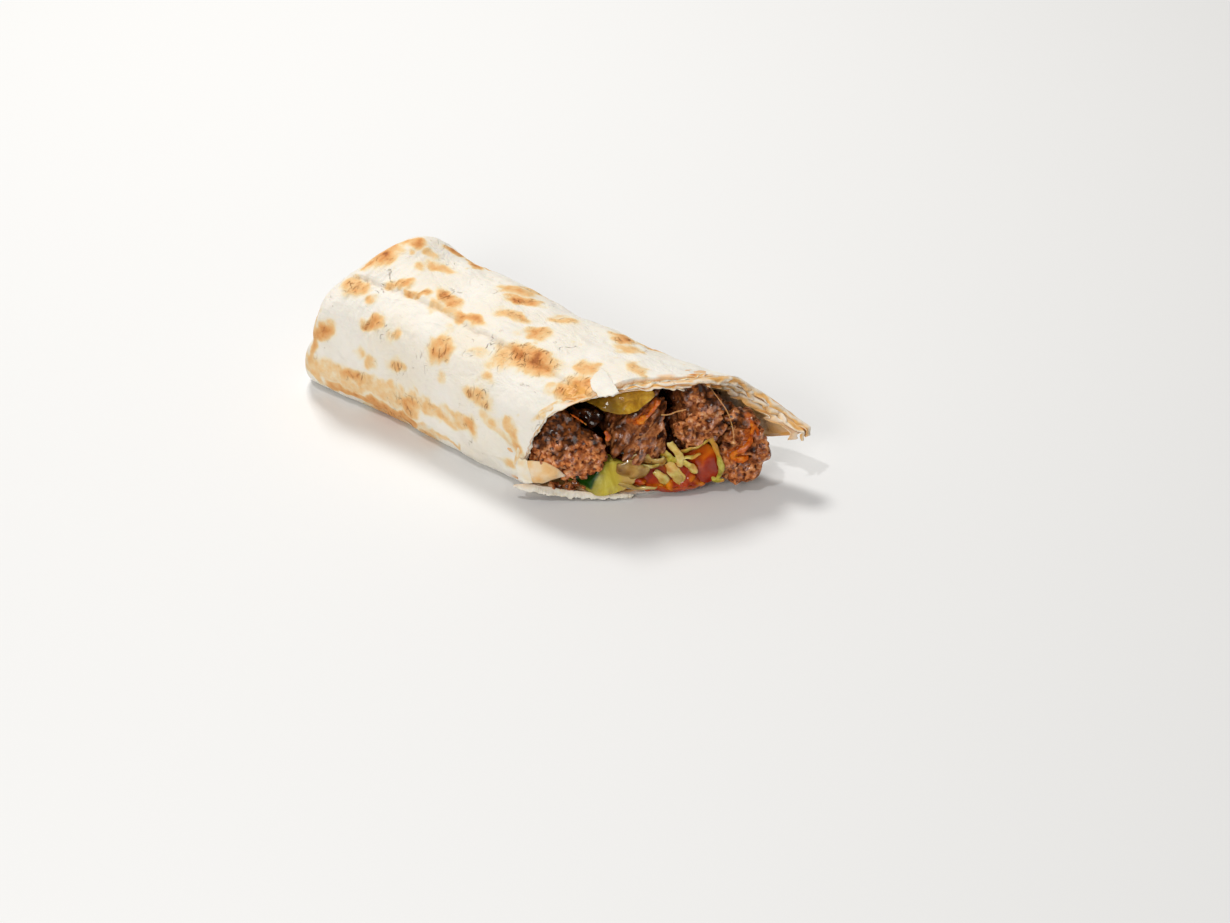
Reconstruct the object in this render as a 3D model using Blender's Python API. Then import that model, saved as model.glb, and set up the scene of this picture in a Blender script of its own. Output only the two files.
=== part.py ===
"""One half of a beef shawarma wrap, cut on the slant and lying on its flat underside.

The flatbread is one shell: a rolled tube, flattened below, tucked shut at one end and torn open at the
other, where its far wall spreads out into a flap. The fillings run along the inside as strands, and
their front ends make the cut face. +X runs from the shut end to the cut, +Z is up, and the origin is the
middle of the bounding box's underside. Lengths are in metres.
"""

from dataclasses import dataclass
import math

import bmesh
import bpy
from mathutils import Vector, noise
import numpy as np

# The flatbread tube. Stations are distances along X from the reference line near the shut end.
SHUT_END = 0.0
HALF_WIDTH = 0.0305
CUT_WIDENING = 0.0010
WIDENING_START = 0.08
WIDENING_LENGTH = 0.07
HALF_HEIGHT = 0.0250
CUT_FLATTENING = 0.0015
FLATTENING_START = 0.04
FLATTENING_LENGTH = 0.09
CENTRE_LIFT = 0.90
TOP_SQUARENESS = 2.6
UNDER_SQUARENESS = 4.0
SHUT_MIDDLE = 0.0195
MIDDLE_DRIFT = 0.0042
DRIFT_LENGTH = 0.06
CUT_DRIFT = 0.0025
CUT_DRIFT_START = 0.07
CUT_DRIFT_LENGTH = 0.08
WALL = 0.0022

# The shut end: how far it is rounded, how it leans, its tucked-in fold and its raised corner.
END_ROUNDING = 0.017
END_ROUNDNESS = 2.6
END_LEAN = 0.34
LEAN_PIVOT = 0.016
LEAN_FADE = 0.050
TUCK_DEPTH = 0.0028
TUCK_HEIGHT = 0.021
TUCK_WIDTH = 0.0030
CORNER_RISE = 0.0062
CORNER_STATION = 0.019
CORNER_LENGTH = 0.015
CORNER_ANGLE = 72.0
CORNER_SPREAD = 26.0

# The cavity starts this far behind the shut end, and the strands a little further on.
CAVITY_START = 0.0025
STRAND_START = 0.025

# The slanting cut: a vertical plane x = CUT_AT_NEAR + CUT_SLANT * y.
CUT_AT_NEAR = 0.123
CUT_SLANT = 0.85

# Where the torn edge of the bread ends, going round from the far side (0 degrees) over the top (90) and
# the near side (180) to the underside (270): (degrees, station).
TORN_EDGE = (
    (0, 0.1755), (6, 0.1712), (12, 0.1675), (20, 0.1633), (30, 0.1580), (40, 0.1562), (52, 0.1560),
    (62, 0.1550), (72, 0.1530), (85, 0.148), (100, 0.1425), (115, 0.139), (127, 0.134), (135, 0.129),
    (150, 0.1235), (170, 0.120), (190, 0.117), (205, 0.115), (218, 0.110), (230, 0.117), (243, 0.129),
    (256, 0.137), (270, 0.1425), (285, 0.1465), (305, 0.148), (322, 0.148), (332, 0.152), (340, 0.161),
    (347, 0.171), (353, 0.1755),
)
EDGE_RIPPLES = ((7, 0.0008), (17, 0.0005))

# Past FAN_START the far wall and the fillings beside it spread outwards.
FAN_START = 0.125
FAN_LENGTH = 0.055
FAN_OUT = 0.0170
FAN_CURVE = 1.5
FAN_FROM = 0.025
FAN_WIDTH = 0.035

# Past the end of the bread's floor the far beef hangs down over it, growing over this length.
BREAD_FLOOR_END = 0.150
FRONT_LENGTH = 0.009

# The middle of the finished half in plan, which becomes the origin.
PLAN_MIDDLE = Vector((0.0873, 0.0311, 0.0))

# How finely the shapes are divided.
BREAD_SIDES = 44
END_RINGS = 8
TUBE_RINGS = 19
CAVITY_RINGS = 11
CAVITY_END_RINGS = 4
STRAND_END_RINGS = 3

# The uneven bulges of the beef: how long they are, how many go round, and how far apart two strands' draws are.
LUMP_LENGTH = 0.009
LUMP_TURNS = 1.3
LUMP_DRAW_GAP = 10.0

BREAD_COLOUR = (0.83, 0.76, 0.64)
BREAD_ROUGHNESS = 0.75
BEEF_COLOUR = (0.20, 0.085, 0.055)
BEEF_ROUGHNESS = 0.4
PICKLE_COLOUR = (0.34, 0.32, 0.06)
CUCUMBER_COLOUR = (0.42, 0.52, 0.18)
ONION_COLOUR = (0.62, 0.55, 0.34)
TOMATO_COLOUR = (0.62, 0.08, 0.02)
LETTUCE_COLOUR = (0.50, 0.55, 0.14)


@dataclass
class Strand:
    """A filling that runs along the wrap: an oval section at (y, z), up to the slanting cut."""

    name: str
    y: float
    z: float
    half_y: float
    half_z: float
    colour: tuple
    tilt: float = 0.0
    squareness: float = 2.3
    reach: float = 0.0
    rounding: float = 0.006
    lumps: float = 0.0
    front_wider: float = 0.0
    front_taller: float = 0.0
    front_shift: float = 0.0
    front_drop: float = 0.0
    roughness: float = BEEF_ROUGHNESS
    rings: int = 10
    sides: int = 14


STRANDS = (
    Strand("beef_near", 0.0060, 0.0220, 0.0079, 0.0140, BEEF_COLOUR, tilt=-6, lumps=0.0009,
           rings=15, sides=16),
    Strand("beef_middle", 0.0238, 0.0266, 0.0068, 0.0116, BEEF_COLOUR, tilt=-18, squareness=2.4,
           reach=-0.0015, lumps=0.0005, rings=15, sides=16),
    Strand("beef_upper", 0.0386, 0.0294, 0.0055, 0.0100, BEEF_COLOUR, reach=-0.001, lumps=0.0006,
           rings=15, sides=16),
    Strand("beef_far", 0.0488, 0.0204, 0.0034, 0.0110, BEEF_COLOUR, squareness=2.4, reach=-0.001,
           lumps=0.0004, front_wider=0.3, front_taller=0.4, front_shift=0.0010, front_drop=0.0032,
           rings=16, sides=16),
    Strand("pickle", 0.0172, 0.0384, 0.0060, 0.0020, PICKLE_COLOUR, tilt=12, squareness=2.0,
           reach=-0.001, rounding=0.0012, roughness=0.25),
    Strand("cucumber", 0.0166, 0.0076, 0.0066, 0.0036, CUCUMBER_COLOUR, tilt=12, squareness=2.6,
           reach=0.002, rounding=0.0012, roughness=0.3),
    Strand("onion", 0.0268, 0.0132, 0.0050, 0.0010, ONION_COLOUR, tilt=4, squareness=2.2,
           rounding=0.0010, roughness=0.25),
    Strand("tomato_near", 0.0288, 0.0068, 0.0042, 0.0034, TOMATO_COLOUR, rounding=0.0020, roughness=0.2),
    Strand("tomato_far", 0.0400, 0.0098, 0.0030, 0.0062, TOMATO_COLOUR, squareness=2.2, rounding=0.0040,
           roughness=0.2),
    Strand("lettuce", 0.0349, 0.0088, 0.0010, 0.0052, LETTUCE_COLOUR, squareness=2.2, reach=0.002,
           rounding=0.0010, lumps=0.0002),
    Strand("lettuce_strip", 0.0442, 0.0102, 0.0007, 0.0050, LETTUCE_COLOUR, tilt=6, squareness=2.2,
           reach=-0.0015, rounding=0.0008),
)

# A scrap of beef that lies on the bread's lower lip.
SCRAP_CENTRE = (0.1215, 0.0062, 0.0064)
SCRAP_SIZE = (0.0040, 0.0017, 0.0013)
SCRAP_TURN = 25.0
SCRAP_LUMPS = 0.18
SCRAP_LUMP_TURNS = 1.7


def ease(t):
    """0 below t = 0, 1 above t = 1, and smooth between."""
    t = np.clip(t, 0.0, 1.0)
    return t * t * (3.0 - 2.0 * t)


def oval(angle, power):
    """A point of the unit superellipse in the direction of the angle."""
    c, s = math.cos(angle), math.sin(angle)
    radius = (abs(c) ** power + abs(s) ** power) ** (-1.0 / power)
    return radius * c, radius * s


def middle_y(x):
    """The tube's centre line, which bends slightly towards the far side."""
    drift = MIDDLE_DRIFT * ease(x / DRIFT_LENGTH)
    return SHUT_MIDDLE + drift + CUT_DRIFT * ease((x - CUT_DRIFT_START) / CUT_DRIFT_LENGTH)


def half_height(x):
    return HALF_HEIGHT - CUT_FLATTENING * ease((x - FLATTENING_START) / FLATTENING_LENGTH)


def end_scale(x, start):
    """How much of the full section the rounded end has at a station: 0 at its start, 1 past the rounding."""
    t = min(max((x - start) / END_ROUNDING, 0.0), 1.0)
    return (1.0 - (1.0 - t) ** END_ROUNDNESS) ** (1.0 / END_ROUNDNESS)


def fan_out(x, y):
    """The sideways shift, at the open end, of whatever lies towards the far side."""
    along = max(x - FAN_START, 0.0) / FAN_LENGTH
    return FAN_OUT * along**FAN_CURVE * ease((y - FAN_FROM) / FAN_WIDTH)


def torn_edge(angle):
    """The station where the bread ends, for a direction round the tube."""
    degrees = math.degrees(angle) % 360.0
    angles = [point[0] for point in TORN_EDGE]
    stations = [point[1] for point in TORN_EDGE]
    station = float(np.interp(degrees, angles, stations, period=360.0))
    for waves, height in EDGE_RIPPLES:
        station += height * math.sin(waves * angle + waves)
    return station


def raised_corner(x, angle):
    along = (x - CORNER_STATION) / CORNER_LENGTH
    around = (math.degrees(angle) - CORNER_ANGLE) / CORNER_SPREAD
    return CORNER_RISE * math.exp(-along * along - around * around)


def bread_point(x, angle, inset):
    """A point of the bread's surface at a station, inset from the outer surface."""
    scale = end_scale(x, SHUT_END if inset == 0 else CAVITY_START)
    across, up = oval(angle, TOP_SQUARENESS if math.sin(angle) > 0 else UNDER_SQUARENESS)
    width = HALF_WIDTH + CUT_WIDENING * ease((x - WIDENING_START) / WIDENING_LENGTH) - inset
    height = half_height(x)
    y = middle_y(x) + width * across * scale
    z = CENTRE_LIFT * height + (height - inset) * up * scale
    shut = 1.0 - ease((x - SHUT_END) / LEAN_FADE)
    tuck = 0.0
    if inset == 0:
        z += raised_corner(x, angle) * scale
        depth = 1.0 - ease((x - SHUT_END) / END_ROUNDING)
        tuck = TUCK_DEPTH * depth * math.exp(-(((z - TUCK_HEIGHT) / TUCK_WIDTH) ** 2))
    z = max(z, inset)
    x = x + END_LEAN * (z - LEAN_PIVOT) * shut + tuck
    return Vector((x, y + fan_out(x, y), z))


def bread_ring(station, inset):
    """One ring of the bread; station gives x for each direction."""
    angles = [2.0 * math.pi * k / BREAD_SIDES for k in range(BREAD_SIDES)]
    return [bread_point(station(angle), angle, inset) for angle in angles]


def bread_rings():
    """The rings of the whole shell, from the middle of the shut end, out to the torn edge and back inside."""
    rings = []
    for k in range(1, END_RINGS + 1):
        x = SHUT_END + END_ROUNDING * (1.0 - math.cos(0.5 * math.pi * k / END_RINGS))
        rings.append(bread_ring(lambda angle, x=x: x, 0.0))
    tube_start = SHUT_END + END_ROUNDING
    for k in range(1, TUBE_RINGS + 1):
        t = k / TUBE_RINGS
        rings.append(bread_ring(lambda angle, t=t: tube_start + t * (torn_edge(angle) - tube_start), 0.0))
    cavity_start = CAVITY_START + END_ROUNDING
    for k in range(CAVITY_RINGS, 0, -1):
        t = k / CAVITY_RINGS
        rings.append(bread_ring(lambda angle, t=t: cavity_start + t * (torn_edge(angle) - cavity_start), WALL))
    for k in range(CAVITY_END_RINGS, 0, -1):
        x = CAVITY_START + END_ROUNDING * (1.0 - math.cos(0.5 * math.pi * k / CAVITY_END_RINGS))
        rings.append(bread_ring(lambda angle, x=x: x, WALL))
    return rings


def lumpiness(strand, x, angle):
    """Uneven bulges of a strand, between -1 and 1, the same on every run."""
    across = LUMP_TURNS * math.cos(angle) + LUMP_DRAW_GAP * STRANDS.index(strand)
    return noise.noise(Vector((x / LUMP_LENGTH, across, LUMP_TURNS * math.sin(angle))))


def strand_point(strand, t, scale, angle):
    """A point of a strand: t runs from 0 at its start to 1 at the cut, and scale shrinks the section."""
    across, up = oval(angle, strand.squareness)
    tilt = math.radians(strand.tilt)
    rough_x = STRAND_START + t * (CUT_AT_NEAR + CUT_SLANT * strand.y + strand.reach - STRAND_START)
    front = ease((rough_x - BREAD_FLOOR_END) / FRONT_LENGTH)
    lumps = strand.lumps * lumpiness(strand, rough_x, angle)
    side = (strand.half_y * (1.0 + strand.front_wider * front) + lumps) * across * scale
    rise = (strand.half_z * (1.0 + strand.front_taller * front) + lumps) * up * scale
    y = strand.y + side * math.cos(tilt) - rise * math.sin(tilt) + strand.front_shift * front
    z = strand.z + side * math.sin(tilt) + rise * math.cos(tilt) - strand.front_drop * front
    cut = CUT_AT_NEAR + CUT_SLANT * y + strand.reach
    x = STRAND_START + t * (cut - STRAND_START)
    # The layout is drawn at the cut, so it follows the centre line back from there.
    y += middle_y(x) - middle_y(CUT_AT_NEAR + CUT_SLANT * strand.y)
    return Vector((x, y + fan_out(x, y), z))


def strand_rings(strand):
    """Rings of a strand, closer together where its two ends are rounded."""
    length = CUT_AT_NEAR + CUT_SLANT * strand.y + strand.reach - STRAND_START
    end = strand.rounding / length
    turns = [0.5 * math.pi * k / STRAND_END_RINGS for k in range(1, STRAND_END_RINGS + 1)]
    spans = strand.rings - 2 * STRAND_END_RINGS
    stations = [(end * (1.0 - math.cos(turn)), math.sin(turn)) for turn in turns]
    stations += [(end + (1.0 - 2.0 * end) * k / spans, 1.0) for k in range(1, spans)]
    stations += [(1.0 - end * (1.0 - math.cos(turn)), math.sin(turn)) for turn in reversed(turns)]
    angles = [2.0 * math.pi * k / strand.sides for k in range(strand.sides)]
    return [[strand_point(strand, t, scale, angle) for angle in angles] for t, scale in stations]


def material(name, colour, roughness):
    made = bpy.data.materials.new(name)
    made.use_nodes = True
    shader = made.node_tree.nodes["Principled BSDF"]
    shader.inputs["Base Color"].default_value = (*colour, 1.0)
    shader.inputs["Roughness"].default_value = roughness
    shader.inputs["Metallic"].default_value = 0.0
    made.diffuse_color = (*colour, 1.0)
    return made


def add_object(name, mesh_data, finish):
    mesh = bpy.data.meshes.new(name)
    mesh_data.to_mesh(mesh)
    mesh_data.free()
    mesh.shade_smooth()
    mesh.materials.append(finish)
    placed = bpy.data.objects.new(name, mesh)
    bpy.context.collection.objects.link(placed)
    return placed


def add_rings(name, rings, finish):
    """One closed body through a row of rings, with a fan of triangles over the first and over the last."""
    body = bmesh.new()
    rows = [[body.verts.new(point - PLAN_MIDDLE) for point in ring] for ring in rings]
    sides = len(rows[0])
    for row, following in zip(rows, rows[1:]):
        for k in range(sides):
            body.faces.new((row[k], row[(k + 1) % sides], following[(k + 1) % sides], following[k]))
    for row in (rows[0], rows[-1]):
        centre = body.verts.new(sum((vert.co for vert in row), Vector()) / sides)
        for k in range(sides):
            body.faces.new((row[k], row[(k + 1) % sides], centre))
    bmesh.ops.recalc_face_normals(body, faces=body.faces)
    return add_object(name, body, finish)


def add_scrap(finish):
    """The small lumpy piece of beef on the lower lip."""
    body = bmesh.new()
    bmesh.ops.create_icosphere(body, subdivisions=2, radius=1.0)
    turn = math.radians(SCRAP_TURN)
    for vert in body.verts:
        lump = 1.0 + SCRAP_LUMPS * noise.noise(vert.co * SCRAP_LUMP_TURNS)
        x, y, z = (vert.co[axis] * SCRAP_SIZE[axis] * lump for axis in range(3))
        turned = Vector((x * math.cos(turn) - y * math.sin(turn), x * math.sin(turn) + y * math.cos(turn), z))
        vert.co = turned + Vector(SCRAP_CENTRE) - PLAN_MIDDLE
    return add_object("beef_scrap", body, finish)


def clear_scene():
    for old in list(bpy.data.objects):
        bpy.data.objects.remove(old, do_unlink=True)


def main():
    clear_scene()
    bread = material("flatbread", BREAD_COLOUR, BREAD_ROUGHNESS)
    add_rings("flatbread", bread_rings(), bread)
    for strand in STRANDS:
        finish = material(strand.name, strand.colour, strand.roughness)
        add_rings(strand.name, strand_rings(strand), finish)
    add_scrap(material("beef_scrap", BEEF_COLOUR, BEEF_ROUGHNESS))


main()
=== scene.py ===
"""Looks of the lower half of a beef shawarma wrap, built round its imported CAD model.

The bread is rebuilt as a fine shell with real relief: overlap seam, wrinkles, toasted blisters and a torn,
layered rim. The fillings are rebuilt at the cut as crumbly beef, wet vegetables, sauce and scraps. Everything
is in the CAD's frame, in metres: stations run along X from the reference line of the shut end, and the
directions round the tube are angles from the far side (0) over the top (90) to the near side (180).
"""

import math

import bmesh
import bpy
import numpy as np
from mathutils import Matrix, Vector


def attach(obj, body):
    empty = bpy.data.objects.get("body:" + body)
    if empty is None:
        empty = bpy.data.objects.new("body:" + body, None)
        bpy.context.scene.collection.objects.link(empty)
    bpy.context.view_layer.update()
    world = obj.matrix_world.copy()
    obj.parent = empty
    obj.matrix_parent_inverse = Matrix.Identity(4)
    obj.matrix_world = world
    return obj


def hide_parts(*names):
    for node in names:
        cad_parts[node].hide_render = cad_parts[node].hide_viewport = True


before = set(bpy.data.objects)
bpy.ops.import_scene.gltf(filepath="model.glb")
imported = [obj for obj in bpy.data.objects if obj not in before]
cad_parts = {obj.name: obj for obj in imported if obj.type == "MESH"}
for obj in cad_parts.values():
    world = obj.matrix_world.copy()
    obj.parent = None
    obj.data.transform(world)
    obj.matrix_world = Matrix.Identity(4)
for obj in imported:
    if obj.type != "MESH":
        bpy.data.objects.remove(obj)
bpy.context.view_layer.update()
CM = 0.01

# ---------------------------------------------------------------- sizes of the bread, as in the CAD source
HALF_WIDTH = 0.0305
CUT_WIDENING = 0.0010
WIDENING_START = 0.08
WIDENING_LENGTH = 0.07
HALF_HEIGHT = 0.0250
CUT_FLATTENING = 0.0015
FLATTENING_START = 0.04
FLATTENING_LENGTH = 0.09
CENTRE_LIFT = 0.90
TOP_SQUARENESS = 2.6
UNDER_SQUARENESS = 4.0
SHUT_MIDDLE = 0.0195
MIDDLE_DRIFT = 0.0042
DRIFT_LENGTH = 0.06
CUT_DRIFT = 0.0025
CUT_DRIFT_START = 0.07
CUT_DRIFT_LENGTH = 0.08
WALL = 0.0022
END_ROUNDING = 0.017
END_ROUNDNESS = 2.6
END_LEAN = 0.34
LEAN_PIVOT = 0.016
LEAN_FADE = 0.050
TUCK_DEPTH = 0.0028
TUCK_HEIGHT = 0.021
TUCK_WIDTH = 0.0030
CORNER_RISE = 0.0062
CORNER_STATION = 0.019
CORNER_LENGTH = 0.015
CORNER_ANGLE = 72.0
CORNER_SPREAD = 26.0
CAVITY_START = 0.0025
CUT_AT_NEAR = 0.123
CUT_SLANT = 0.85
FAN_START = 0.125
FAN_LENGTH = 0.055
FAN_OUT = 0.0170
FAN_CURVE = 1.5
FAN_FROM = 0.025
FAN_WIDTH = 0.035
STRAND_START = 0.025
PLAN_MIDDLE = np.array((0.0873, 0.0311, 0.0))

# Where the torn edge ends: degrees round the tube, station.
TORN_EDGE = (
    (0, 0.1755), (6, 0.1712), (12, 0.1675), (20, 0.1633), (30, 0.1580), (40, 0.1562), (52, 0.1560),
    (62, 0.1550), (72, 0.1530), (85, 0.148), (100, 0.1425), (115, 0.139), (127, 0.134), (135, 0.129),
    (150, 0.1235), (170, 0.120), (190, 0.117), (205, 0.115), (218, 0.110), (230, 0.117), (243, 0.129),
    (256, 0.137), (270, 0.1425), (285, 0.1465), (305, 0.148), (322, 0.148), (332, 0.152), (340, 0.161),
    (347, 0.171), (353, 0.1755),
)

# ---------------------------------------------------------------- camera and light
CAMERA_PLACE = Vector((0.9217, -0.7756, 0.70)) - Vector(PLAN_MIDDLE)
CAMERA_DIRECTION = Vector((-0.5991, 0.6054, -0.5240))
SENSOR_WIDTH = 36.0
FOCAL_PIXELS = 3840.0
PHOTO_WIDTH = 1230.0
FLOOR_GREY = (0.83, 0.83, 0.83)
FLOOR_HALF_SIZE = 4.0
FLOOR_GAP = 0.0002
SKY_COLOUR = (1.0, 0.985, 0.96)
SKY_STRENGTH = 0.30
LIGHTS_AIM = (0.0, 0.0, 0.02)
# Area lights: name, place, width and height, power in W, colour.
LIGHTS = (
    ("key", (-0.55, 0.25, 0.95), (0.30, 0.30), 7.4, (1.0, 0.985, 0.955)),
    ("front", (0.45, -0.95, 0.60), (0.45, 0.28), 4.2, (1.0, 0.985, 0.955)),
    ("spark", (0.15, -0.55, 1.10), (0.035, 0.035), 2.9, (1.0, 1.0, 1.0)),
)


# ================================================================ numbers: easing, noise, cells
def ease(t):
    """0 below t = 0, 1 above t = 1, and smooth between."""
    t = np.clip(t, 0.0, 1.0)
    return t * t * (3.0 - 2.0 * t)


def hump(value, centre, width):
    """1 at the centre, falling smoothly to 0 away from it."""
    return np.exp(-(((value - centre) / width) ** 2))


def above(value, bound):
    """1 well above the bound, 0 below it; bound is (where it starts, over what length)."""
    return ease((value - bound[0]) / bound[1])


def below(value, bound):
    """1 well below the bound, 0 above it."""
    return ease((bound[0] - value) / bound[1])


def round_turn(degrees, table):
    """The value in each direction, from a table of (degrees, value) that closes on itself."""
    angles, values = zip(*table)
    return np.interp(degrees % 360.0, angles, values, period=360.0)


def turn_from(degrees, centre):
    """The angle from a direction, between -180 and 180 degrees."""
    return (degrees - centre + 180.0) % 360.0 - 180.0


def lattice(ix, iy, iz, seed):
    """A repeatable number from 0 to 1 for each whole-numbered point of a lattice."""
    mask = 0xFFFFFFFF
    mixed = (ix * 374761393 + iy * 668265263 + iz * 1274126177 + seed * 974634777) & mask
    mixed = ((mixed ^ (mixed >> 15)) * 2246822519) & mask
    mixed = ((mixed ^ (mixed >> 13)) * 3266489917) & mask
    return ((mixed ^ (mixed >> 16)) & mask) / float(mask)


def noise(points, size, seed):
    """Smooth gradient noise, about -1 to 1, with features of the given size."""
    p = np.asarray(points, float).reshape(-1, 3) / size
    base = np.floor(p).astype(np.int64)
    part = p - base
    blend = part * part * part * (part * (part * 6.0 - 15.0) + 10.0)
    total = np.zeros(len(p))
    for dx in (0, 1):
        for dy in (0, 1):
            for dz in (0, 1):
                ix, iy, iz = base[:, 0] + dx, base[:, 1] + dy, base[:, 2] + dz
                gx = lattice(ix, iy, iz, seed) * 2.0 - 1.0
                gy = lattice(ix, iy, iz, seed + 101) * 2.0 - 1.0
                gz = lattice(ix, iy, iz, seed + 202) * 2.0 - 1.0
                dot = gx * (part[:, 0] - dx) + gy * (part[:, 1] - dy) + gz * (part[:, 2] - dz)
                wx = blend[:, 0] if dx else 1.0 - blend[:, 0]
                wy = blend[:, 1] if dy else 1.0 - blend[:, 1]
                wz = blend[:, 2] if dz else 1.0 - blend[:, 2]
                total += wx * wy * wz * dot
    return (1.7 * total).reshape(np.asarray(points).shape[:-1])


def fractal(points, size, octaves, seed):
    """Layers of noise, each half the size and half the strength of the one before."""
    total = 0.0
    for k in range(octaves):
        total = total + noise(points, size / 2.0**k, seed + 17 * k) / 2.0**k
    return total


def ridges(points, size, seed):
    """Sharp creases where the noise crosses zero: 1 on the crease, 0 away from it."""
    return np.clip(1.0 - np.abs(noise(points, size, seed)) * 2.4, 0.0, 1.0)


def cells(points, size, seed):
    """The distance to the nearest scattered point, in cell sizes, and that point's number from 0 to 1."""
    p = np.asarray(points, float).reshape(-1, 3) / size
    base = np.floor(p).astype(np.int64)
    nearest = np.full(len(p), 9.0)
    number = np.zeros(len(p))
    for dx in (-1, 0, 1):
        for dy in (-1, 0, 1):
            for dz in (-1, 0, 1):
                ix, iy, iz = base[:, 0] + dx, base[:, 1] + dy, base[:, 2] + dz
                cx = ix + lattice(ix, iy, iz, seed)
                cy = iy + lattice(ix, iy, iz, seed + 101)
                cz = iz + lattice(ix, iy, iz, seed + 202)
                gap = np.sqrt((p[:, 0] - cx) ** 2 + (p[:, 1] - cy) ** 2 + (p[:, 2] - cz) ** 2)
                number = np.where(gap < nearest, lattice(ix, iy, iz, seed + 303), number)
                nearest = np.minimum(gap, nearest)
    return nearest, number


# ================================================================ meshes
def unit(vectors):
    return vectors / (np.linalg.norm(vectors, axis=-1, keepdims=True) + 1e-12)


def grid_normals(points, closed):
    """Unit normals of a grid of points; closed says that its columns run round."""
    if closed:
        across = np.roll(points, -1, axis=1) - np.roll(points, 1, axis=1)
    else:
        across = np.gradient(points, axis=1)
    along = np.gradient(points, axis=0)
    return unit(np.cross(across, along))


def grid_faces(rows, columns, closed, start=0):
    """The quads between the points of a grid."""
    last = columns if closed else columns - 1
    r = np.arange(rows - 1)[:, None]
    c = np.arange(last)[None, :]
    following = (c + 1) % columns
    quads = (r * columns + c, r * columns + following, (r + 1) * columns + following, (r + 1) * columns + c)
    return (np.stack(np.broadcast_arrays(*quads), -1).reshape(-1, 4) + start).tolist()


def fan(ring, centre, turned=False):
    """Triangles from a ring of point numbers to a centre."""
    pairs = zip(ring, ring[1:] + ring[:1])
    return [(b, a, centre) if turned else (a, b, centre) for a, b in pairs]


def add_piece(name, points, faces, finish, attributes, replaces=()):
    """A smooth-shaded mesh piece that rides on the wrap."""
    mesh = bpy.data.meshes.new(name)
    mesh.from_pydata(np.asarray(points, float).reshape(-1, 3).tolist(), [], faces)
    for label, values in attributes.items():
        layer = mesh.attributes.new(label, "FLOAT", "POINT")
        layer.data.foreach_set("value", np.asarray(values, np.float32).ravel())
    mesh.materials.append(finish)
    mesh.validate()
    mesh.shade_smooth()
    piece = bpy.data.objects.new(name, mesh)
    bpy.context.scene.collection.objects.link(piece)
    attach(piece, "root")
    if replaces:
        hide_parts(*replaces)
    return piece


def tube_shell(rings):
    """Points and faces of one closed body through rings of points (rows, columns, 3)."""
    rows, columns = rings.shape[:2]
    ends = np.array([rings[0].mean(axis=0), rings[-1].mean(axis=0)])
    points = np.concatenate([rings.reshape(-1, 3), ends])
    last_ring = (rows - 1) * columns
    faces = grid_faces(rows, columns, True)
    faces += fan(list(range(columns)), rows * columns, turned=True)
    faces += fan(list(range(last_ring, last_ring + columns)), rows * columns + 1)
    return points, faces


def thick_sheet(grid, thickness):
    """Points and faces of a thin closed sheet round a grid of points; its thickness may vary."""
    rows, columns = grid.shape[:2]
    normals = grid_normals(grid, closed=False)
    half = 0.5 * np.broadcast_to(thickness, (rows, columns))[..., None] * normals
    points = np.concatenate([(grid + half).reshape(-1, 3), (grid - half).reshape(-1, 3)])
    under = rows * columns
    faces = grid_faces(rows, columns, False)
    faces += [face[::-1] for face in grid_faces(rows, columns, False, under)]
    top = list(range(columns))
    right = [r * columns + columns - 1 for r in range(rows)]
    bottom = [(rows - 1) * columns + c for c in range(columns)]
    left = [r * columns for r in range(rows)]
    for border, turned in ((top, True), (right, True), (bottom, False), (left, False)):
        for a, b in zip(border, border[1:]):
            quad = (a, b, b + under, a + under)
            faces.append(quad if not turned else quad[::-1])
    return points, faces


def smooth_line(points, count, closed=False):
    """A smooth curve through the given points, as evenly numbered samples."""
    p = np.asarray(points, float)
    n = len(p)
    spans = n if closed else n - 1
    t = np.linspace(0.0, spans, count, endpoint=not closed)
    k = np.minimum(t.astype(int), spans - 1)
    u = (t - k)[:, None]

    def at(index):
        return p[index % n] if closed else p[np.clip(index, 0, n - 1)]

    a, b, c, d = at(k - 1), at(k), at(k + 1), at(k + 2)
    return 0.5 * (2 * b + (c - a) * u + (2 * a - 5 * b + 4 * c - d) * u**2 + (3 * b - a - 3 * c + d) * u**3)


def fix_normals(points, faces):
    """The same faces, all pointing out."""
    body = bmesh.new()
    verts = [body.verts.new(p) for p in points]
    for face in faces:
        try:
            body.faces.new([verts[i] for i in face])
        except ValueError:
            continue
    bmesh.ops.recalc_face_normals(body, faces=body.faces)
    body.verts.index_update()
    found = [[v.index for v in face.verts] for face in body.faces]
    body.free()
    return found


def join_parts(parts):
    """One list of points and faces from several (points, faces)."""
    points = []
    faces = []
    count = 0
    for part_points, part_faces in parts:
        points.append(np.asarray(part_points))
        faces += [tuple(i + count for i in face) for face in part_faces]
        count += len(part_points)
    return np.concatenate(points), faces


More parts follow.
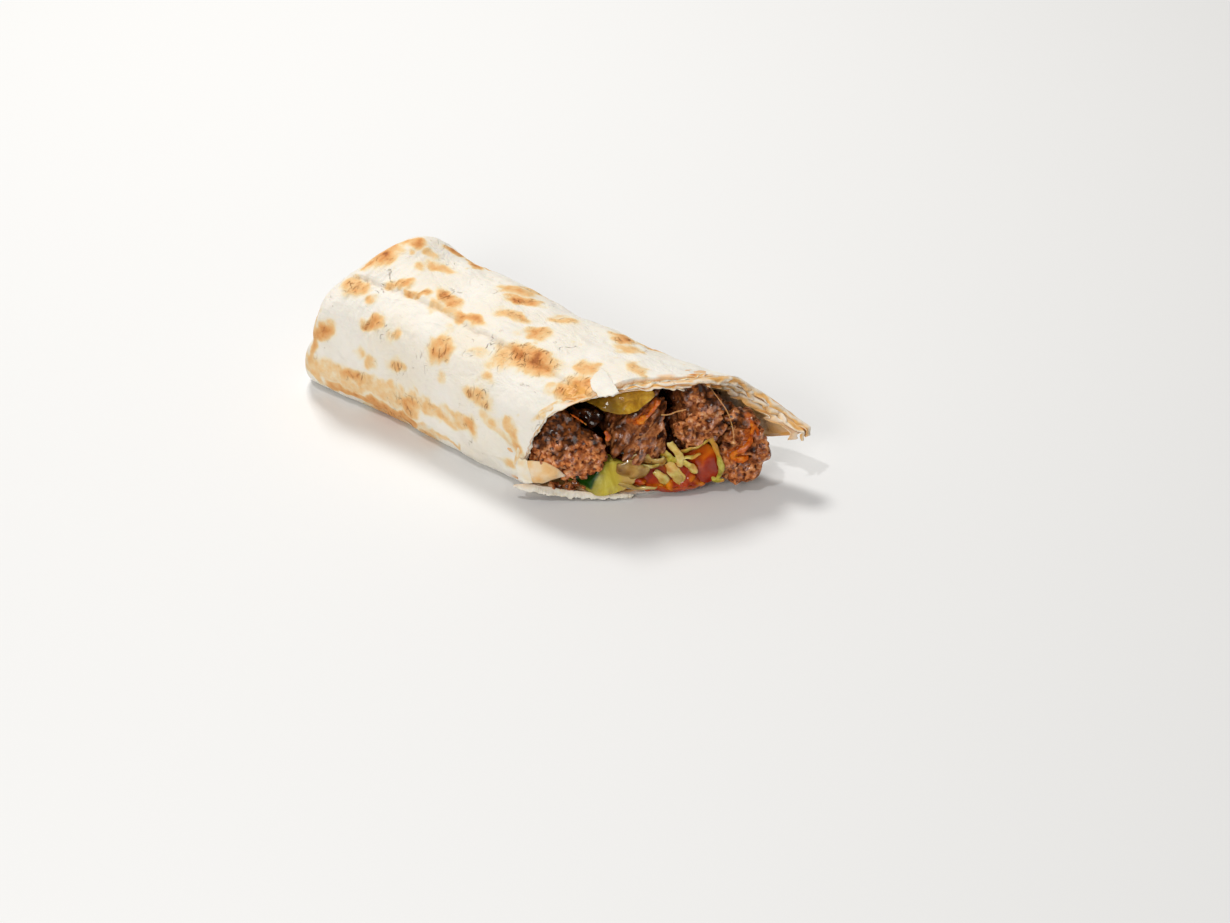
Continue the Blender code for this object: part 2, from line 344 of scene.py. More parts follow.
def remeshed(points, faces, voxel, smoothing=0):
    """The outer skin of overlapping closed bodies as one even mesh."""
    mesh = bpy.data.meshes.new("remesh_source")
    mesh.from_pydata(np.asarray(points).tolist(), [], faces)
    source = bpy.data.objects.new("remesh_source", mesh)
    bpy.context.scene.collection.objects.link(source)
    modifier = source.modifiers.new("skin", "REMESH")
    modifier.mode = "VOXEL"
    modifier.voxel_size = voxel
    if smoothing:
        smoother = source.modifiers.new("smooth", "SMOOTH")
        smoother.iterations = smoothing
        smoother.factor = 0.5
    graph = bpy.context.evaluated_depsgraph_get()
    made = source.evaluated_get(graph).to_mesh()
    found = np.empty(len(made.vertices) * 3, np.float32)
    made.vertices.foreach_get("co", found)
    normals = np.empty(len(made.vertices) * 3, np.float32)
    made.vertices.foreach_get("normal", normals)
    new_faces = [tuple(face.vertices) for face in made.polygons]
    source.evaluated_get(graph).to_mesh_clear()
    bpy.data.objects.remove(source, do_unlink=True)
    bpy.data.meshes.remove(mesh)
    return found.reshape(-1, 3).astype(float), normals.reshape(-1, 3).astype(float), new_faces


# ================================================================ the bread's own surface
def middle_y(x):
    """The tube's centre line, which bends slightly towards the far side."""
    drift = MIDDLE_DRIFT * ease(x / DRIFT_LENGTH)
    return SHUT_MIDDLE + drift + CUT_DRIFT * ease((x - CUT_DRIFT_START) / CUT_DRIFT_LENGTH)


def half_height(x):
    return HALF_HEIGHT - CUT_FLATTENING * ease((x - FLATTENING_START) / FLATTENING_LENGTH)


def fan_out(x, y):
    """The sideways shift, at the open end, of whatever lies towards the far side."""
    along = np.maximum(x - FAN_START, 0.0) / FAN_LENGTH
    return FAN_OUT * along**FAN_CURVE * ease((y - FAN_FROM) / FAN_WIDTH)


def oval(angle, power):
    """A point of the unit superellipse in the direction of the angle."""
    c, s = np.cos(angle), np.sin(angle)
    radius = (np.abs(c) ** power + np.abs(s) ** power) ** (-1.0 / power)
    return radius * c, radius * s


def bread_surface(x, degrees, inset=0.0, inner=False):
    """Points of the bread at stations x and directions in degrees, inset from the outer surface."""
    x, degrees, inset = np.broadcast_arrays(np.asarray(x, float), np.asarray(degrees, float), inset)
    angle = np.radians(degrees)
    start = CAVITY_START if inner else 0.0
    t = np.clip((x - start) / END_ROUNDING, 0.0, 1.0)
    scale = (1.0 - (1.0 - t) ** END_ROUNDNESS) ** (1.0 / END_ROUNDNESS)
    across, up = oval(angle, np.where(np.sin(angle) > 0, TOP_SQUARENESS, UNDER_SQUARENESS))
    width = HALF_WIDTH + CUT_WIDENING * ease((x - WIDENING_START) / WIDENING_LENGTH) - inset
    height = half_height(x)
    y = middle_y(x) + width * across * scale
    z = CENTRE_LIFT * height + (height - inset) * up * scale
    tuck = 0.0
    if not inner:
        corner = hump(x, CORNER_STATION, CORNER_LENGTH) * hump(degrees % 360.0, CORNER_ANGLE, CORNER_SPREAD)
        z = z + CORNER_RISE * corner * scale
        tuck = TUCK_DEPTH * (1.0 - ease(x / END_ROUNDING)) * hump(z, TUCK_HEIGHT, TUCK_WIDTH)
    z = np.maximum(z, inset)
    x = x + END_LEAN * (z - LEAN_PIVOT) * (1.0 - ease(x / LEAN_FADE)) + tuck
    return np.stack([x, y + fan_out(x, y), z], -1) - PLAN_MIDDLE


def torn_edge(degrees):
    """The station where the bread ends, for each direction."""
    return round_turn(degrees, TORN_EDGE)


def frame_place(places):
    """Points given in cm in the CAD source's own frame."""
    return np.asarray(places) * CM - PLAN_MIDDLE


def ring_noise(degrees, waves, seed):
    """Noise that runs smoothly round the tube, with about so many waves in a turn."""
    angle = np.radians(degrees)
    radius = waves / (2.0 * math.pi)
    place = np.stack([radius * np.cos(angle), radius * np.sin(angle), np.full_like(angle, 0.37)], -1)
    return noise(place, 1.0, seed)


# ================================================================ toasted spots
# Station mm, degrees, half length mm, half width mm, turn in degrees, strength, ridges.
TOASTED_SPOTS = (
    (15.0, 97, 6.6, 5.0, 0, 0.95, 0.5),
    (13.0, 107, 3.2, 2.2, 20, 0.85, 0.3),
    (20.5, 79, 6.0, 2.4, -10, 0.90, 0.2),
    (24.0, 87, 2.2, 1.2, 0, 0.45, 0.0),
    (31.6, 79, 4.8, 1.9, 0, 0.55, 0.2),
    (40.0, 84, 7.0, 2.2, -8, 0.62, 0.2),
    (34.0, 93, 3.4, 1.6, 0, 0.40, 0.2),
    (18.3, 126, 7.6, 3.4, 8, 0.62, 1.0),
    (30.2, 131, 3.4, 1.9, 10, 0.62, 1.0),
    (36.0, 112, 6.5, 1.9, -12, 0.66, 0.6),
    (44.0, 114, 3.4, 1.4, -10, 0.60, 0.5),
    (49.5, 113, 3.2, 1.5, -20, 0.85, 0.5),
    (61.0, 113, 7.5, 1.7, -6, 0.58, 0.4),
    (71.5, 113, 7.5, 2.2, -5, 0.78, 0.5),
    (37.6, 146, 5.6, 3.0, -8, 0.66, 1.0),
    (49.5, 148, 3.9, 2.6, -15, 0.52, 0.7),
    (71.3, 141, 5.8, 4.4, -20, 0.78, 1.0),
    (69.0, 125, 3.2, 1.5, 0, 0.26, 0.0),
    (16.0, 166, 5.6, 4.0, -20, 0.88, 0.4),
    (12.0, 180, 3.2, 6.0, 0, 0.62, 0.2),
    (13.5, 199, 4.5, 4.0, -20, 0.50, 0.2),
    (35.0, 173, 2.6, 2.2, 0, 0.32, 0.2),
    (40.0, 179, 3.6, 3.0, 0, 0.45, 0.3),
    (53.4, 169, 4.0, 2.8, -20, 0.62, 0.9),
    (32.4, 196, 7.4, 2.8, -6, 0.72, 1.0),
    (60.0, 198, 7.0, 4.0, -10, 0.76, 0.8),
    (69.5, 188, 3.4, 2.4, 0, 0.56, 0.6),
    (76.0, 191, 5.5, 2.6, -5, 0.56, 0.5),
    (91.0, 185, 4.4, 3.6, -15, 0.78, 0.9),
    (84.0, 184, 5.0, 1.6, -10, 0.45, 0.3),
    (93.4, 158, 7.2, 3.2, 5, 0.62, 1.0),
    (85.4, 131, 5.2, 1.8, -10, 0.36, 0.4),
    (94.0, 142, 3.2, 2.0, 0, 0.46, 0.3),
    (75.7, 159, 2.6, 1.8, 0, 0.30, 0.2),
    (104.0, 118, 12.0, 4.0, -4, 0.92, 1.0),
    (97.0, 125, 6.5, 3.8, -25, 0.52, 0.5),
    (101.5, 171, 4.2, 2.2, -10, 0.46, 0.3),
    (109.0, 169, 3.0, 2.8, 0, 0.66, 0.6),
    (111.5, 176, 3.0, 4.6, 12, 0.58, 0.6),
    (112.5, 186, 3.0, 3.2, 0, 0.64, 0.6),
    (119.5, 152, 0.9, 3.0, 15, 0.30, 0.0),
    (127.5, 121.5, 6.5, 4.0, -20, 0.98, 0.9),
    (119.0, 130, 3.0, 2.0, 0, 0.34, 0.2),
    (109.0, 205, 4.5, 2.0, 0, 0.55, 0.2),
)

# Broad pale-brown bands along the lower side: station from and to in mm, degrees at both, half width mm,
# strength.
TOASTED_BANDS = (
    (10.0, 55.0, 203, 197, 4.2, 0.40),
    (45.0, 92.0, 196, 187, 4.0, 0.40),
    (22.0, 60.0, 214, 214, 2.4, 0.75),
    (60.0, 82.0, 213, 211, 1.6, 0.36),
    (8.0, 16.0, 158, 215, 4.0, 0.45),
    (98.0, 114.0, 171, 190, 3.0, 0.34),
)
MM_PER_DEGREE = 0.42
BACK_SPOTS = 46
UNDER_SPOTS = 26
SMALL_SPOTS = 170
TOP_SPOT_STATIONS = (58.0, 83.0, 96.0, 124.0, 137.0)
END_SPOTS_WITHIN = 0.0055
END_SPOTS_SIZE = 0.010
END_SPOTS_STRENGTH = 0.75
SPOT_REACH = 1.55
SPOT_SOFTNESS = 1.25


def back_spots():
    """Spots on the sides that the view doesn't show, at random but the same each time."""
    chance = np.random.default_rng(11)
    spots = []
    for k in range(BACK_SPOTS + UNDER_SPOTS):
        under = k >= BACK_SPOTS
        degrees = chance.uniform(222, 318) if under else chance.uniform(-40, 74)
        station = chance.uniform(14, 150)
        length = chance.uniform(2.5, 8.0) * (1.3 if under else 1.0)
        width = length * chance.uniform(0.4, 0.8)
        spots.append((station, degrees, length, width, chance.uniform(-30, 30),
                      chance.uniform(0.35, 0.9), chance.uniform(0.2, 1.0)))
    for station in TOP_SPOT_STATIONS:
        spots.append((station, chance.uniform(84, 106), chance.uniform(3, 7), chance.uniform(1.8, 3.2),
                      chance.uniform(-20, 20), chance.uniform(0.4, 0.8), 0.6))
    for _ in range(SMALL_SPOTS):
        size = chance.uniform(0.5, 1.5)
        spots.append((chance.uniform(8, 150), chance.uniform(0, 360), size, size * chance.uniform(0.6, 1.0),
                      0.0, chance.uniform(0.08, 0.30), 0.0))
    return spots


def spot_fields(stations_mm, degrees, warp):
    """How toasted each point is, and how strongly its blister is ridged, from 0 to 1."""
    toast = np.zeros(stations_mm.shape)
    ridged = np.zeros(stations_mm.shape)
    for station, centre, length, width, turn, strength, ridge in (*TOASTED_SPOTS, *back_spots()):
        along = stations_mm - station + 1.9 * warp[0]
        around = turn_from(degrees, centre) * MM_PER_DEGREE + 1.6 * warp[1]
        c, s = math.cos(math.radians(turn)), math.sin(math.radians(turn))
        far = np.sqrt(((along * c + around * s) / length) ** 2 + ((around * c - along * s) / width) ** 2)
        inside = ease((SPOT_REACH - far) / SPOT_SOFTNESS)
        toast = np.maximum(toast, strength * inside)
        ridged = np.maximum(ridged, ridge * strength * inside)
    for first, last, start, end, width, strength in TOASTED_BANDS:
        t = np.clip((stations_mm - first) / (last - first), 0.0, 1.0)
        along = np.maximum(np.maximum(first - stations_mm, stations_mm - last), 0.0)
        around = turn_from(degrees, start + t * (end - start)) * MM_PER_DEGREE
        far = np.hypot(along / 3.0, (around + 2.2 * warp[1]) / width)
        toast = np.maximum(toast, strength * ease((1.35 - far) / 0.8))
    return toast * (0.94 + 0.32 * warp[2]), ridged


# ================================================================ the bread shell
END_ROWS = 36
BREAD_ROWS = 292
BREAD_COLUMNS = 264
INNER_ROWS = 38
CAP_ROWS = 6
OUTER_THICKNESS = 0.0008
# The wall grows from the thin outer layer to its full thickness between these distances behind the edge.
THICKER_FROM = 0.026
THICKER_TO = 0.036
SEAM_STEP = 0.0009
SEAM_SOFTNESS_MM = 0.45
GROOVE_DEPTH = 0.00025
# Where the outer layer's edge runs: station mm, degrees.
SEAM = ((0, 121), (14, 118), (30, 116.5), (60, 116), (80, 116.5), (110, 118), (135, 121))
# Slow waves of the surface: height m, size m, seed.
WAVES = ((0.00095, 0.024, 21), (0.00060, 0.0105, 22))
WRINKLE_HEIGHT = 0.00050
WRINKLE_HEIGHT_MORE = 0.00065
FINE_HEIGHT = 0.00012
FINE_HEIGHT_MORE = 0.00016
BLISTER_HEIGHT = 0.00024
RIDGED_HEIGHT = 0.00022
PUCKER_DEPTH = 0.00070
GRAIN_HEIGHT = 0.00003
# Dents and swellings of the outer layer: station mm, degrees, half length mm, half width mm, height mm.
DENTS = (
    (27.0, 118, 9.0, 5.0, -1.1), (46.0, 126, 12.0, 3.2, -0.9), (34.0, 101, 6.0, 5.0, 0.9),
    (12.0, 140, 8.0, 7.0, 0.7), (26.0, 150, 9.0, 5.0, -0.7), (58.0, 138, 14.0, 6.0, 0.5),
    (44.0, 172, 12.0, 5.0, -0.6), (78.0, 170, 12.0, 6.0, 0.5), (62.0, 104, 9.0, 5.0, -0.7),
    (88.0, 112, 8.0, 5.0, 0.6), (112.0, 150, 9.0, 8.0, 0.5), (104.0, 184, 8.0, 4.0, -0.5),
)
# How far the outer layer ends behind the innermost one: degrees, metres.
OUTER_SHORTFALL = ((0, 0.0), (40, 0.0004), (62, 0.0016), (90, 0.0026), (115, 0.0022), (130, 0.0002),
                   (225, 0.0), (240, 0.0006), (330, 0.0006))
WHITE_EDGE_FROM = 132.0
WHITE_EDGE_TO = 218.0
# The flap's edge is smoother: its middle in degrees, where it ends to either side, and the fade there.
FLAP_MIDDLE = 38.0
FLAP_REACH = 28.0
FLAP_FADE = 22.0
# The patch of juice on the top lip: station, degrees and the half sizes of both.
SOAKED_PATCH = (0.1285, 125.0, 0.0048, 7.5)
INSIDE_STAIN = 0.90


def seam_degrees(station):
    """Where the outer layer's edge runs, from the shut end to the torn lip."""
    base = np.interp(station * 1000.0, *zip(*SEAM))
    place = np.stack([station * 1000.0, np.zeros_like(station), np.zeros_like(station)], -1)
    return base + 2.0 * noise(place, 9.0, 5) + 1.0 * noise(place, 3.1, 6)


def wavy_relief(points, mm, degrees):
    """Slow waves, dents and swellings."""
    height = sum(rise * noise(points, size, seed) for rise, size, seed in WAVES)
    for station, centre, length, width, rise in DENTS:
        dent = hump(mm[..., 0], station, length) * hump(degrees, centre, width / MM_PER_DEGREE)
        height = height + 0.001 * rise * dent
    return height


def wrinkle_relief(points, mm, degrees):
    """Wrinkles in patches, deepest on the upper side towards the shut end."""
    patch = ease(0.5 + 1.6 * noise(points, 0.030, 23))
    upper_left = ease((75.0 - mm[..., 0]) / 40.0) * ease((degrees - 100.0) / 15.0)
    upper_left = upper_left * ease((175.0 - degrees) / 20.0)
    long_way = mm * np.array((0.55, 1.0, 1.0))
    wrinkles = ridges(long_way, 5.0, 24) * noise(long_way, 9.0, 25)
    fine = noise(mm * np.array((1.0, 0.8, 1.0)), 2.3, 26)
    wrinkles = (WRINKLE_HEIGHT + WRINKLE_HEIGHT_MORE * upper_left) * wrinkles * patch
    return wrinkles + (FINE_HEIGHT + FINE_HEIGHT_MORE * upper_left) * fine


def blister_relief(mm, toast, ridged):
    """Toasted spots stand a little proud, and the ridged ones are puckered."""
    creases = ridges(mm * np.array((1.0, 0.38, 1.0)), 2.4, 27)
    puckers = creases * ease(0.5 + 1.8 * noise(mm, 3.2, 36))
    swollen = toast * BLISTER_HEIGHT * (0.4 + noise(mm, 4.0, 28))
    return swollen + ridged * (RIDGED_HEIGHT - PUCKER_DEPTH * puckers)


def bread_relief(points, stations, degrees, toast, ridged):
    """How far each point of the outer surface stands proud, and the painted shade of the seam's groove there.
    """
    mm = np.stack([stations * 1000.0, degrees * MM_PER_DEGREE, np.zeros_like(stations)], -1)
    height = wavy_relief(points, mm, degrees) + wrinkle_relief(points, mm, degrees)
    height = height + blister_relief(mm, toast, ridged) + GRAIN_HEIGHT * noise(points, 0.0011, 29)
    seam = (degrees % 360.0 - seam_degrees(stations)) * MM_PER_DEGREE
    on_top = ease((degrees % 360.0 - 60.0) / 40.0) * ease((stations - 0.004) / 0.012)
    step = SEAM_STEP * (1.0 - ease(seam / SEAM_SOFTNESS_MM + 0.5)) * on_top
    groove = hump(seam, 0.5, 0.6) * on_top
    # The second value is painted shade in the seam's groove.
    return height + step - GROOVE_DEPTH * groove, np.clip(0.50 * groove, 0.0, 1.0)


def ragged(degrees, seed, coarse=0.0009, fine=0.0006):
    """Uneven bites along a torn edge, in metres; the flap's edge is smoother."""
    torn = coarse * ring_noise(degrees, 34, seed) + fine * ring_noise(degrees, 90, seed + 1)
    torn = torn + 0.6 * fine * np.abs(ring_noise(degrees, 170, seed + 2))
    from_flap = np.abs(turn_from(degrees, FLAP_MIDDLE))
    return torn * (0.35 + 0.65 * ease((from_flap - FLAP_REACH) / FLAP_FADE))


def bread_stain(stations, degrees, edge, points):
    """How much juice has soaked the bread near the cut."""
    near_edge = ease(1.0 - (edge - stations) / 0.006)
    white = ease((degrees - WHITE_EDGE_FROM) / 6.0) * ease((WHITE_EDGE_TO - degrees) / 8.0)
    station, centre, length, width = SOAKED_PATCH
    patch = hump(stations, station, length) * hump(degrees, centre, width)
    soaked = near_edge * ease(0.30 + 1.3 * noise(points, 0.006, 31)) * (1.0 - 0.85 * white)
    return soaked + patch * (1.15 + 1.1 * noise(points, 0.003, 32))


def outer_stations(edge):
    """Rows of stations from the shut end, closer together where it is round, to the torn edge."""
    end = END_ROUNDING * (1.0 - np.cos(0.5 * math.pi * np.arange(1, END_ROWS + 1) / END_ROWS))
    share = (np.arange(1, BREAD_ROWS + 1) / BREAD_ROWS)[:, None]
    return np.concatenate([np.repeat(end[:, None], BREAD_COLUMNS, axis=1),
                           END_ROUNDING + share * (edge[None, :] - END_ROUNDING)])


def outer_toast(stations, degrees, plain):
    """How toasted and how ridged each point of the outer surface is."""
    warp = (fractal(plain, 0.0055, 2, 33), fractal(plain, 0.0055, 2, 34), noise(plain, 0.0034, 35))
    toast, ridged = spot_fields(stations * 1000.0, degrees, warp)
    on_end = ease((END_SPOTS_WITHIN - stations) / 0.002)
    spots = noise(plain, END_SPOTS_SIZE, 36) + 0.3 * warp[0]
    end_spots = END_SPOTS_STRENGTH * on_end * ease((spots - 0.22) / 0.20)
    return np.maximum(toast, end_spots), np.maximum(ridged, 0.8 * end_spots)


def inside_rings(edge, degrees):
    """Rings from the torn edge back inside to the closed end of the hollow."""
    lip = bread_surface(edge + 0.0002, degrees, 0.5 * OUTER_THICKNESS)[None]
    back = np.linspace(0.0, 1.0, INNER_ROWS)[:, None] ** 1.6
    stations = edge[None, :] + back * (CAVITY_START + END_ROUNDING - edge[None, :])
    thicker = ease((edge[None, :] - stations - THICKER_FROM) / (THICKER_TO - THICKER_FROM))
    inset = OUTER_THICKNESS + (WALL - OUTER_THICKNESS) * thicker
    inner = bread_surface(stations, degrees[None, :], inset, inner=True)
    share = np.arange(CAP_ROWS - 1, 0, -1)[:, None] / CAP_ROWS
    cap = CAVITY_START + END_ROUNDING * (1.0 - np.cos(0.5 * math.pi * share))
    return np.concatenate([lip, inner, bread_surface(cap, degrees[None, :], WALL, inner=True)])


def make_bread(finish):
    """The outer layer: one closed shell from the shut end to the torn edge and back inside."""
    degrees = np.arange(BREAD_COLUMNS) * 360.0 / BREAD_COLUMNS
    edge = torn_edge(degrees) - round_turn(degrees, OUTER_SHORTFALL) + ragged(degrees, 40)
    stations = outer_stations(edge)
    turns = np.broadcast_to(degrees, stations.shape)
    plain = bread_surface(stations, turns)
    toast, ridged = outer_toast(stations, turns, plain)
    normals = grid_normals(plain, closed=True)
    top = BREAD_COLUMNS // 4
    outward = np.sign(normals[2 * END_ROWS, top, 2])
    relief, crease = bread_relief(plain, stations, turns, toast, ridged)
    flat_underside = ease((plain[..., 2] - 0.0002) / 0.0030)
    pole = ease(stations / 0.004)
    outer = plain + outward * normals * (relief * flat_underside * pole)[..., None]
    outer[..., 2] = np.maximum(outer[..., 2], 0.0)
    inside = inside_rings(edge, degrees)
    points, faces = tube_shell(np.concatenate([outer, inside]))
    stain = bread_stain(stations, turns, edge[None, :], plain)
    attributes = {}
    for label, values, inner_value, end_value in (
            ("toast", toast, 0.0, 0.4), ("ridged", ridged, 0.0, 0.0), ("crease", crease, 0.0, 0.0),
            ("stain", stain, INSIDE_STAIN, 0.0)):
        inner_values = np.full(inside.shape[:2], inner_value)
        attributes[label] = np.concatenate([values.ravel(), inner_values.ravel(), [end_value, 0.0]])
    return add_piece("bread_outer_layer", points, faces, finish, attributes, ("flatbread",))


# ================================================================ inner layers at the torn edge
LAYER_DEPTH = 0.030
LAYER_ROWS = 34
LAYER_COLUMNS = 340
# For each inner layer: inset of its outer side, thickness, and how far it ends beyond the outer layer:
# (degrees, metres).
INNER_LAYERS = (
    (0.00085, 0.0004, ((0, -0.003), (40, -0.002), (80, -0.001), (105, -0.001), (122, -0.0015), (140, -0.003),
                       (200, -0.003), (225, 0.0006), (260, 0.0010), (300, 0.0010), (340, -0.002))),
    (0.00125, 0.0005, ((0, -0.005), (40, -0.004), (80, -0.0005), (105, 0.0), (122, -0.002), (140, -0.004),
                       (200, -0.004), (225, -0.0004), (260, 0.0014), (300, 0.0012), (340, -0.004))),
)
SAG_OF_LAYERS = 0.0004
LOOSE_LENGTH = 0.011


def make_inner_layer(index, finish):
    """One of the thin layers under the outer one, loose and wavy where it ends."""
    inset, thickness, reach = INNER_LAYERS[index]
    degrees = np.arange(LAYER_COLUMNS) * 360.0 / LAYER_COLUMNS
    edge = torn_edge(degrees) + round_turn(degrees, reach) + ragged(degrees, 60 + 10 * index, 0.0010, 0.0007)
    back = (np.linspace(0.0, 1.0, LAYER_ROWS) ** 1.7)[:, None]
    stations = edge[None, :] - LAYER_DEPTH * back
    loose = ease(1.0 - (edge[None, :] - stations) / LOOSE_LENGTH)
    top = ease((np.sin(np.radians(degrees)) + 0.1) / 0.5)[None, :]
    wave = 0.5 + 0.5 * ring_noise(degrees, 26, 80 + index)[None, :]
    wave = wave + 0.35 * ring_noise(degrees, 70, 84 + index)[None, :]
    sag = SAG_OF_LAYERS * (1.0 + 0.6 * index) * loose**1.5 * wave * (0.25 + 0.75 * top)
    outer = bread_surface(stations, degrees[None, :], inset + sag, inner=True)
    inner = bread_surface(stations, degrees[None, :], inset + sag + thickness, inner=True)
    rings = np.concatenate([outer[::-1], inner])
    faces = grid_faces(len(rings), LAYER_COLUMNS, True)
    last = (len(rings) - 1) * LAYER_COLUMNS
    for k in range(LAYER_COLUMNS):
        following = (k + 1) % LAYER_COLUMNS
        faces.append((last + k, last + following, following, k))
    toast = 0.75 * ease(0.5 + 1.5 * noise(rings, 0.012, 90 + index))
    toast = toast * np.concatenate([loose[::-1], loose]) ** 0.5
    stain = 0.62 + 0.38 * ease(0.5 + 1.2 * noise(rings, 0.009, 95 + index))
    points = rings.reshape(-1, 3)
    return add_piece(f"bread_inner_layer_{index + 1}", points, fix_normals(points, faces), finish,
                     {"toast": toast, "stain": stain})


# ================================================================ crumpled sheets along the torn edge
SHEET_THICKNESS = 0.00042
SHEET_LOWEST = 0.0004


def rim_frame(degrees, back, inset):
    """Places behind the torn edge by so much, with the directions forward and outward there."""
    edge = torn_edge(degrees)
    place = bread_surface(edge - back, degrees, inset, inner=True)
    ahead = bread_surface(edge - back + 0.0005, degrees, inset, inner=True)
    around = bread_surface(edge - back, degrees + 0.5, inset, inner=True)
    forward = unit(ahead - place)
    outward = unit(np.cross(forward, around - place))
    angle = np.radians(degrees)
    facing_out = np.stack([np.zeros_like(angle), np.cos(angle), np.sin(angle)], -1)
    outward = outward * np.sign((outward * facing_out).sum(-1, keepdims=True))
    return place, forward, outward


def rim_line(base):
    """The distance along the rim, as points for the noise functions."""
    along = np.concatenate([[0.0], np.cumsum(np.linalg.norm(np.diff(base, axis=0), axis=1))])
    return np.stack([along, np.zeros_like(along), np.zeros_like(along)], -1)


def rim_grid(rim, ahead, inward):
    """Points ahead of the rim and inward from it, by so many metres each."""
    place, forward, outward = rim
    return place[None] + ahead[..., None] * forward[None] - inward[..., None] * outward[None]


def beside(line, v, length):
    """Places for the noise functions on a sheet of so many metres beside a line along the rim."""
    return line[None] + v[..., None] * np.array((0.0, length, 0.0))


def add_rim_sheet(name, grid, thickness, toast, stain, finish):
    """A thin sheet of bread round a grid of points; toast and stain are given for each point of the grid."""
    grid[..., 2] = np.maximum(grid[..., 2], SHEET_LOWEST)
    points, faces = thick_sheet(grid, thickness)
    attributes = {"toast": np.tile(toast.ravel(), 2), "stain": np.tile(stain.ravel(), 2)}
    return add_piece(name, points, fix_normals(points, faces), finish, attributes)


# Pleated sheets on the flap's rim: degrees from and to, start behind the edge mm, inset mm, reach into the
# wrap at both ends mm, depth of the pleats mm, pleats, seed.
PLEATED_SHEETS = (
    (106, -7, 1.0, 0.5, 1.1, 6.2, 1.35, 1.6, 201),
    (98, -5, 3.0, 0.9, 1.4, 7.8, 1.75, 1.9, 202),
    (80, -7, 0.0, 0.4, 1.4, 3.6, 0.90, 0.9, 203),
)
PLEATED_ROWS = 34
PLEATED_COLUMNS_PER_DEGREE = 2.6


def make_pleated_sheet(index, finish):
    """One thin sheet that is pushed together along the rim, with folds that run along it."""
    first, last, back, inset, start_reach, end_reach, depth, pleats, seed = PLEATED_SHEETS[index]
    columns = int(abs(first - last) * PLEATED_COLUMNS_PER_DEGREE)
    turns = np.linspace(first, last, columns)
    rim = rim_frame(turns % 360.0, back * 0.001, inset * 0.001)
    line = rim_line(rim[0])
    share = np.linspace(0.0, 1.0, columns)
    ends = ease(np.minimum(share, 1.12 - share) * 9.0)
    reach = (start_reach + (end_reach - start_reach) * share) * (1.0 + 0.42 * noise(line, 0.0075, seed))
    reach = 0.001 * (reach + 0.80 * noise(line, 0.0030, seed + 1)) * (0.25 + 0.75 * ends)
    v = np.linspace(0.0, 1.0, PLEATED_ROWS)[:, None]
    phase = 2.4 * noise(line, 0.011, seed + 2) + 1.5 * noise(line, 0.0045, seed + 3)
    strength = 0.001 * depth * (0.75 + 0.55 * noise(line, 0.011, seed + 4)) * ends
    swing = np.sin(2.0 * math.pi * pleats * v + 2.2 * phase[None, :])
    place = beside(line, v, 0.006)
    loose = noise(place, 0.0045, seed + 5)
    crumpled = 0.9 * loose + 0.8 * ridges(place, 0.0042, seed + 8) - 0.7 * ridges(place, 0.0060, seed + 9)
    ahead = strength[None, :] * (0.8 * swing + crumpled) * (0.25 + 0.75 * v) + 0.0012 * ease(v / 0.3)
    inward = reach[None, :] * v + 0.0004 * loose * v
    valley = 0.5 - 0.5 * swing
    lipwards = ease((turns - 55.0) / 30.0)[None, :]
    # Painted shade in the folds: toast and stain follow the pleats' valleys; the small even amounts added are
    # the sheets' own toasting and juice.
    toast = (0.55 + 0.25 * lipwards) * valley * ease(0.6 + noise(place, 0.009, seed + 6)) + 0.06
    stain = (0.55 + 0.35 * lipwards) * valley * ease(0.7 + 0.8 * noise(place, 0.007, seed + 7))
    stain = stain + 0.24 + 0.12 * v
    thickness = SHEET_THICKNESS * (1.0 - 0.35 * v) * np.ones((PLEATED_ROWS, columns))
    return add_rim_sheet(f"bread_pleated_sheet_{index + 1}", rim_grid(rim, ahead, inward), thickness, toast,
                         stain, finish)


# Leaves of bread that end in steps along the lips: degrees from and to, end behind (-) or beyond (+) the torn
# edge mm, inset mm, droop in degrees, ruffle mm, ruffle wavelength mm, toast, stain, seed.
LIP_LEAVES = (
    (133, 62, -1.2, 0.35, 6, 0.34, 5.0, 0.70, 0.35, 211),
    (130, 58, -1.2, 0.65, 2, 0.36, 6.5, 0.88, 0.55, 212),
    (126, 52, -1.2, 1.00, 2, 0.40, 5.5, 0.80, 0.75, 213),
    (226, 130, 0.1, 0.40, 6, 0.22, 5.5, 0.30, 0.30, 214),
    (216, 138, 0.2, 0.70, 10, 0.30, 6.5, 0.50, 0.70, 215),
    (334, 224, 1.9, 0.50, -6, 0.40, 6.0, 0.12, 0.20, 216),
    (326, 232, 2.9, 1.10, -2, 0.45, 8.0, 0.18, 0.45, 217),
    (318, 238, 1.2, 1.60, 12, 0.45, 7.0, 0.26, 0.75, 218),
    (262, 219, 4.4, 0.35, -2, 0.40, 5.0, 0.05, 0.10, 219),
    (259, 222, 3.4, 0.90, -8, 0.45, 6.0, 0.12, 0.35, 220),
)
LEAF_ROOT = 0.0045
LEAF_ROWS = 18
LEAF_COLUMNS_PER_DEGREE = 3.2
# How uneven a leaf's torn end is: mm, size m.
LEAF_BITES = ((0.8, 0.006), (0.55, 0.0021), (0.30, 0.0009))


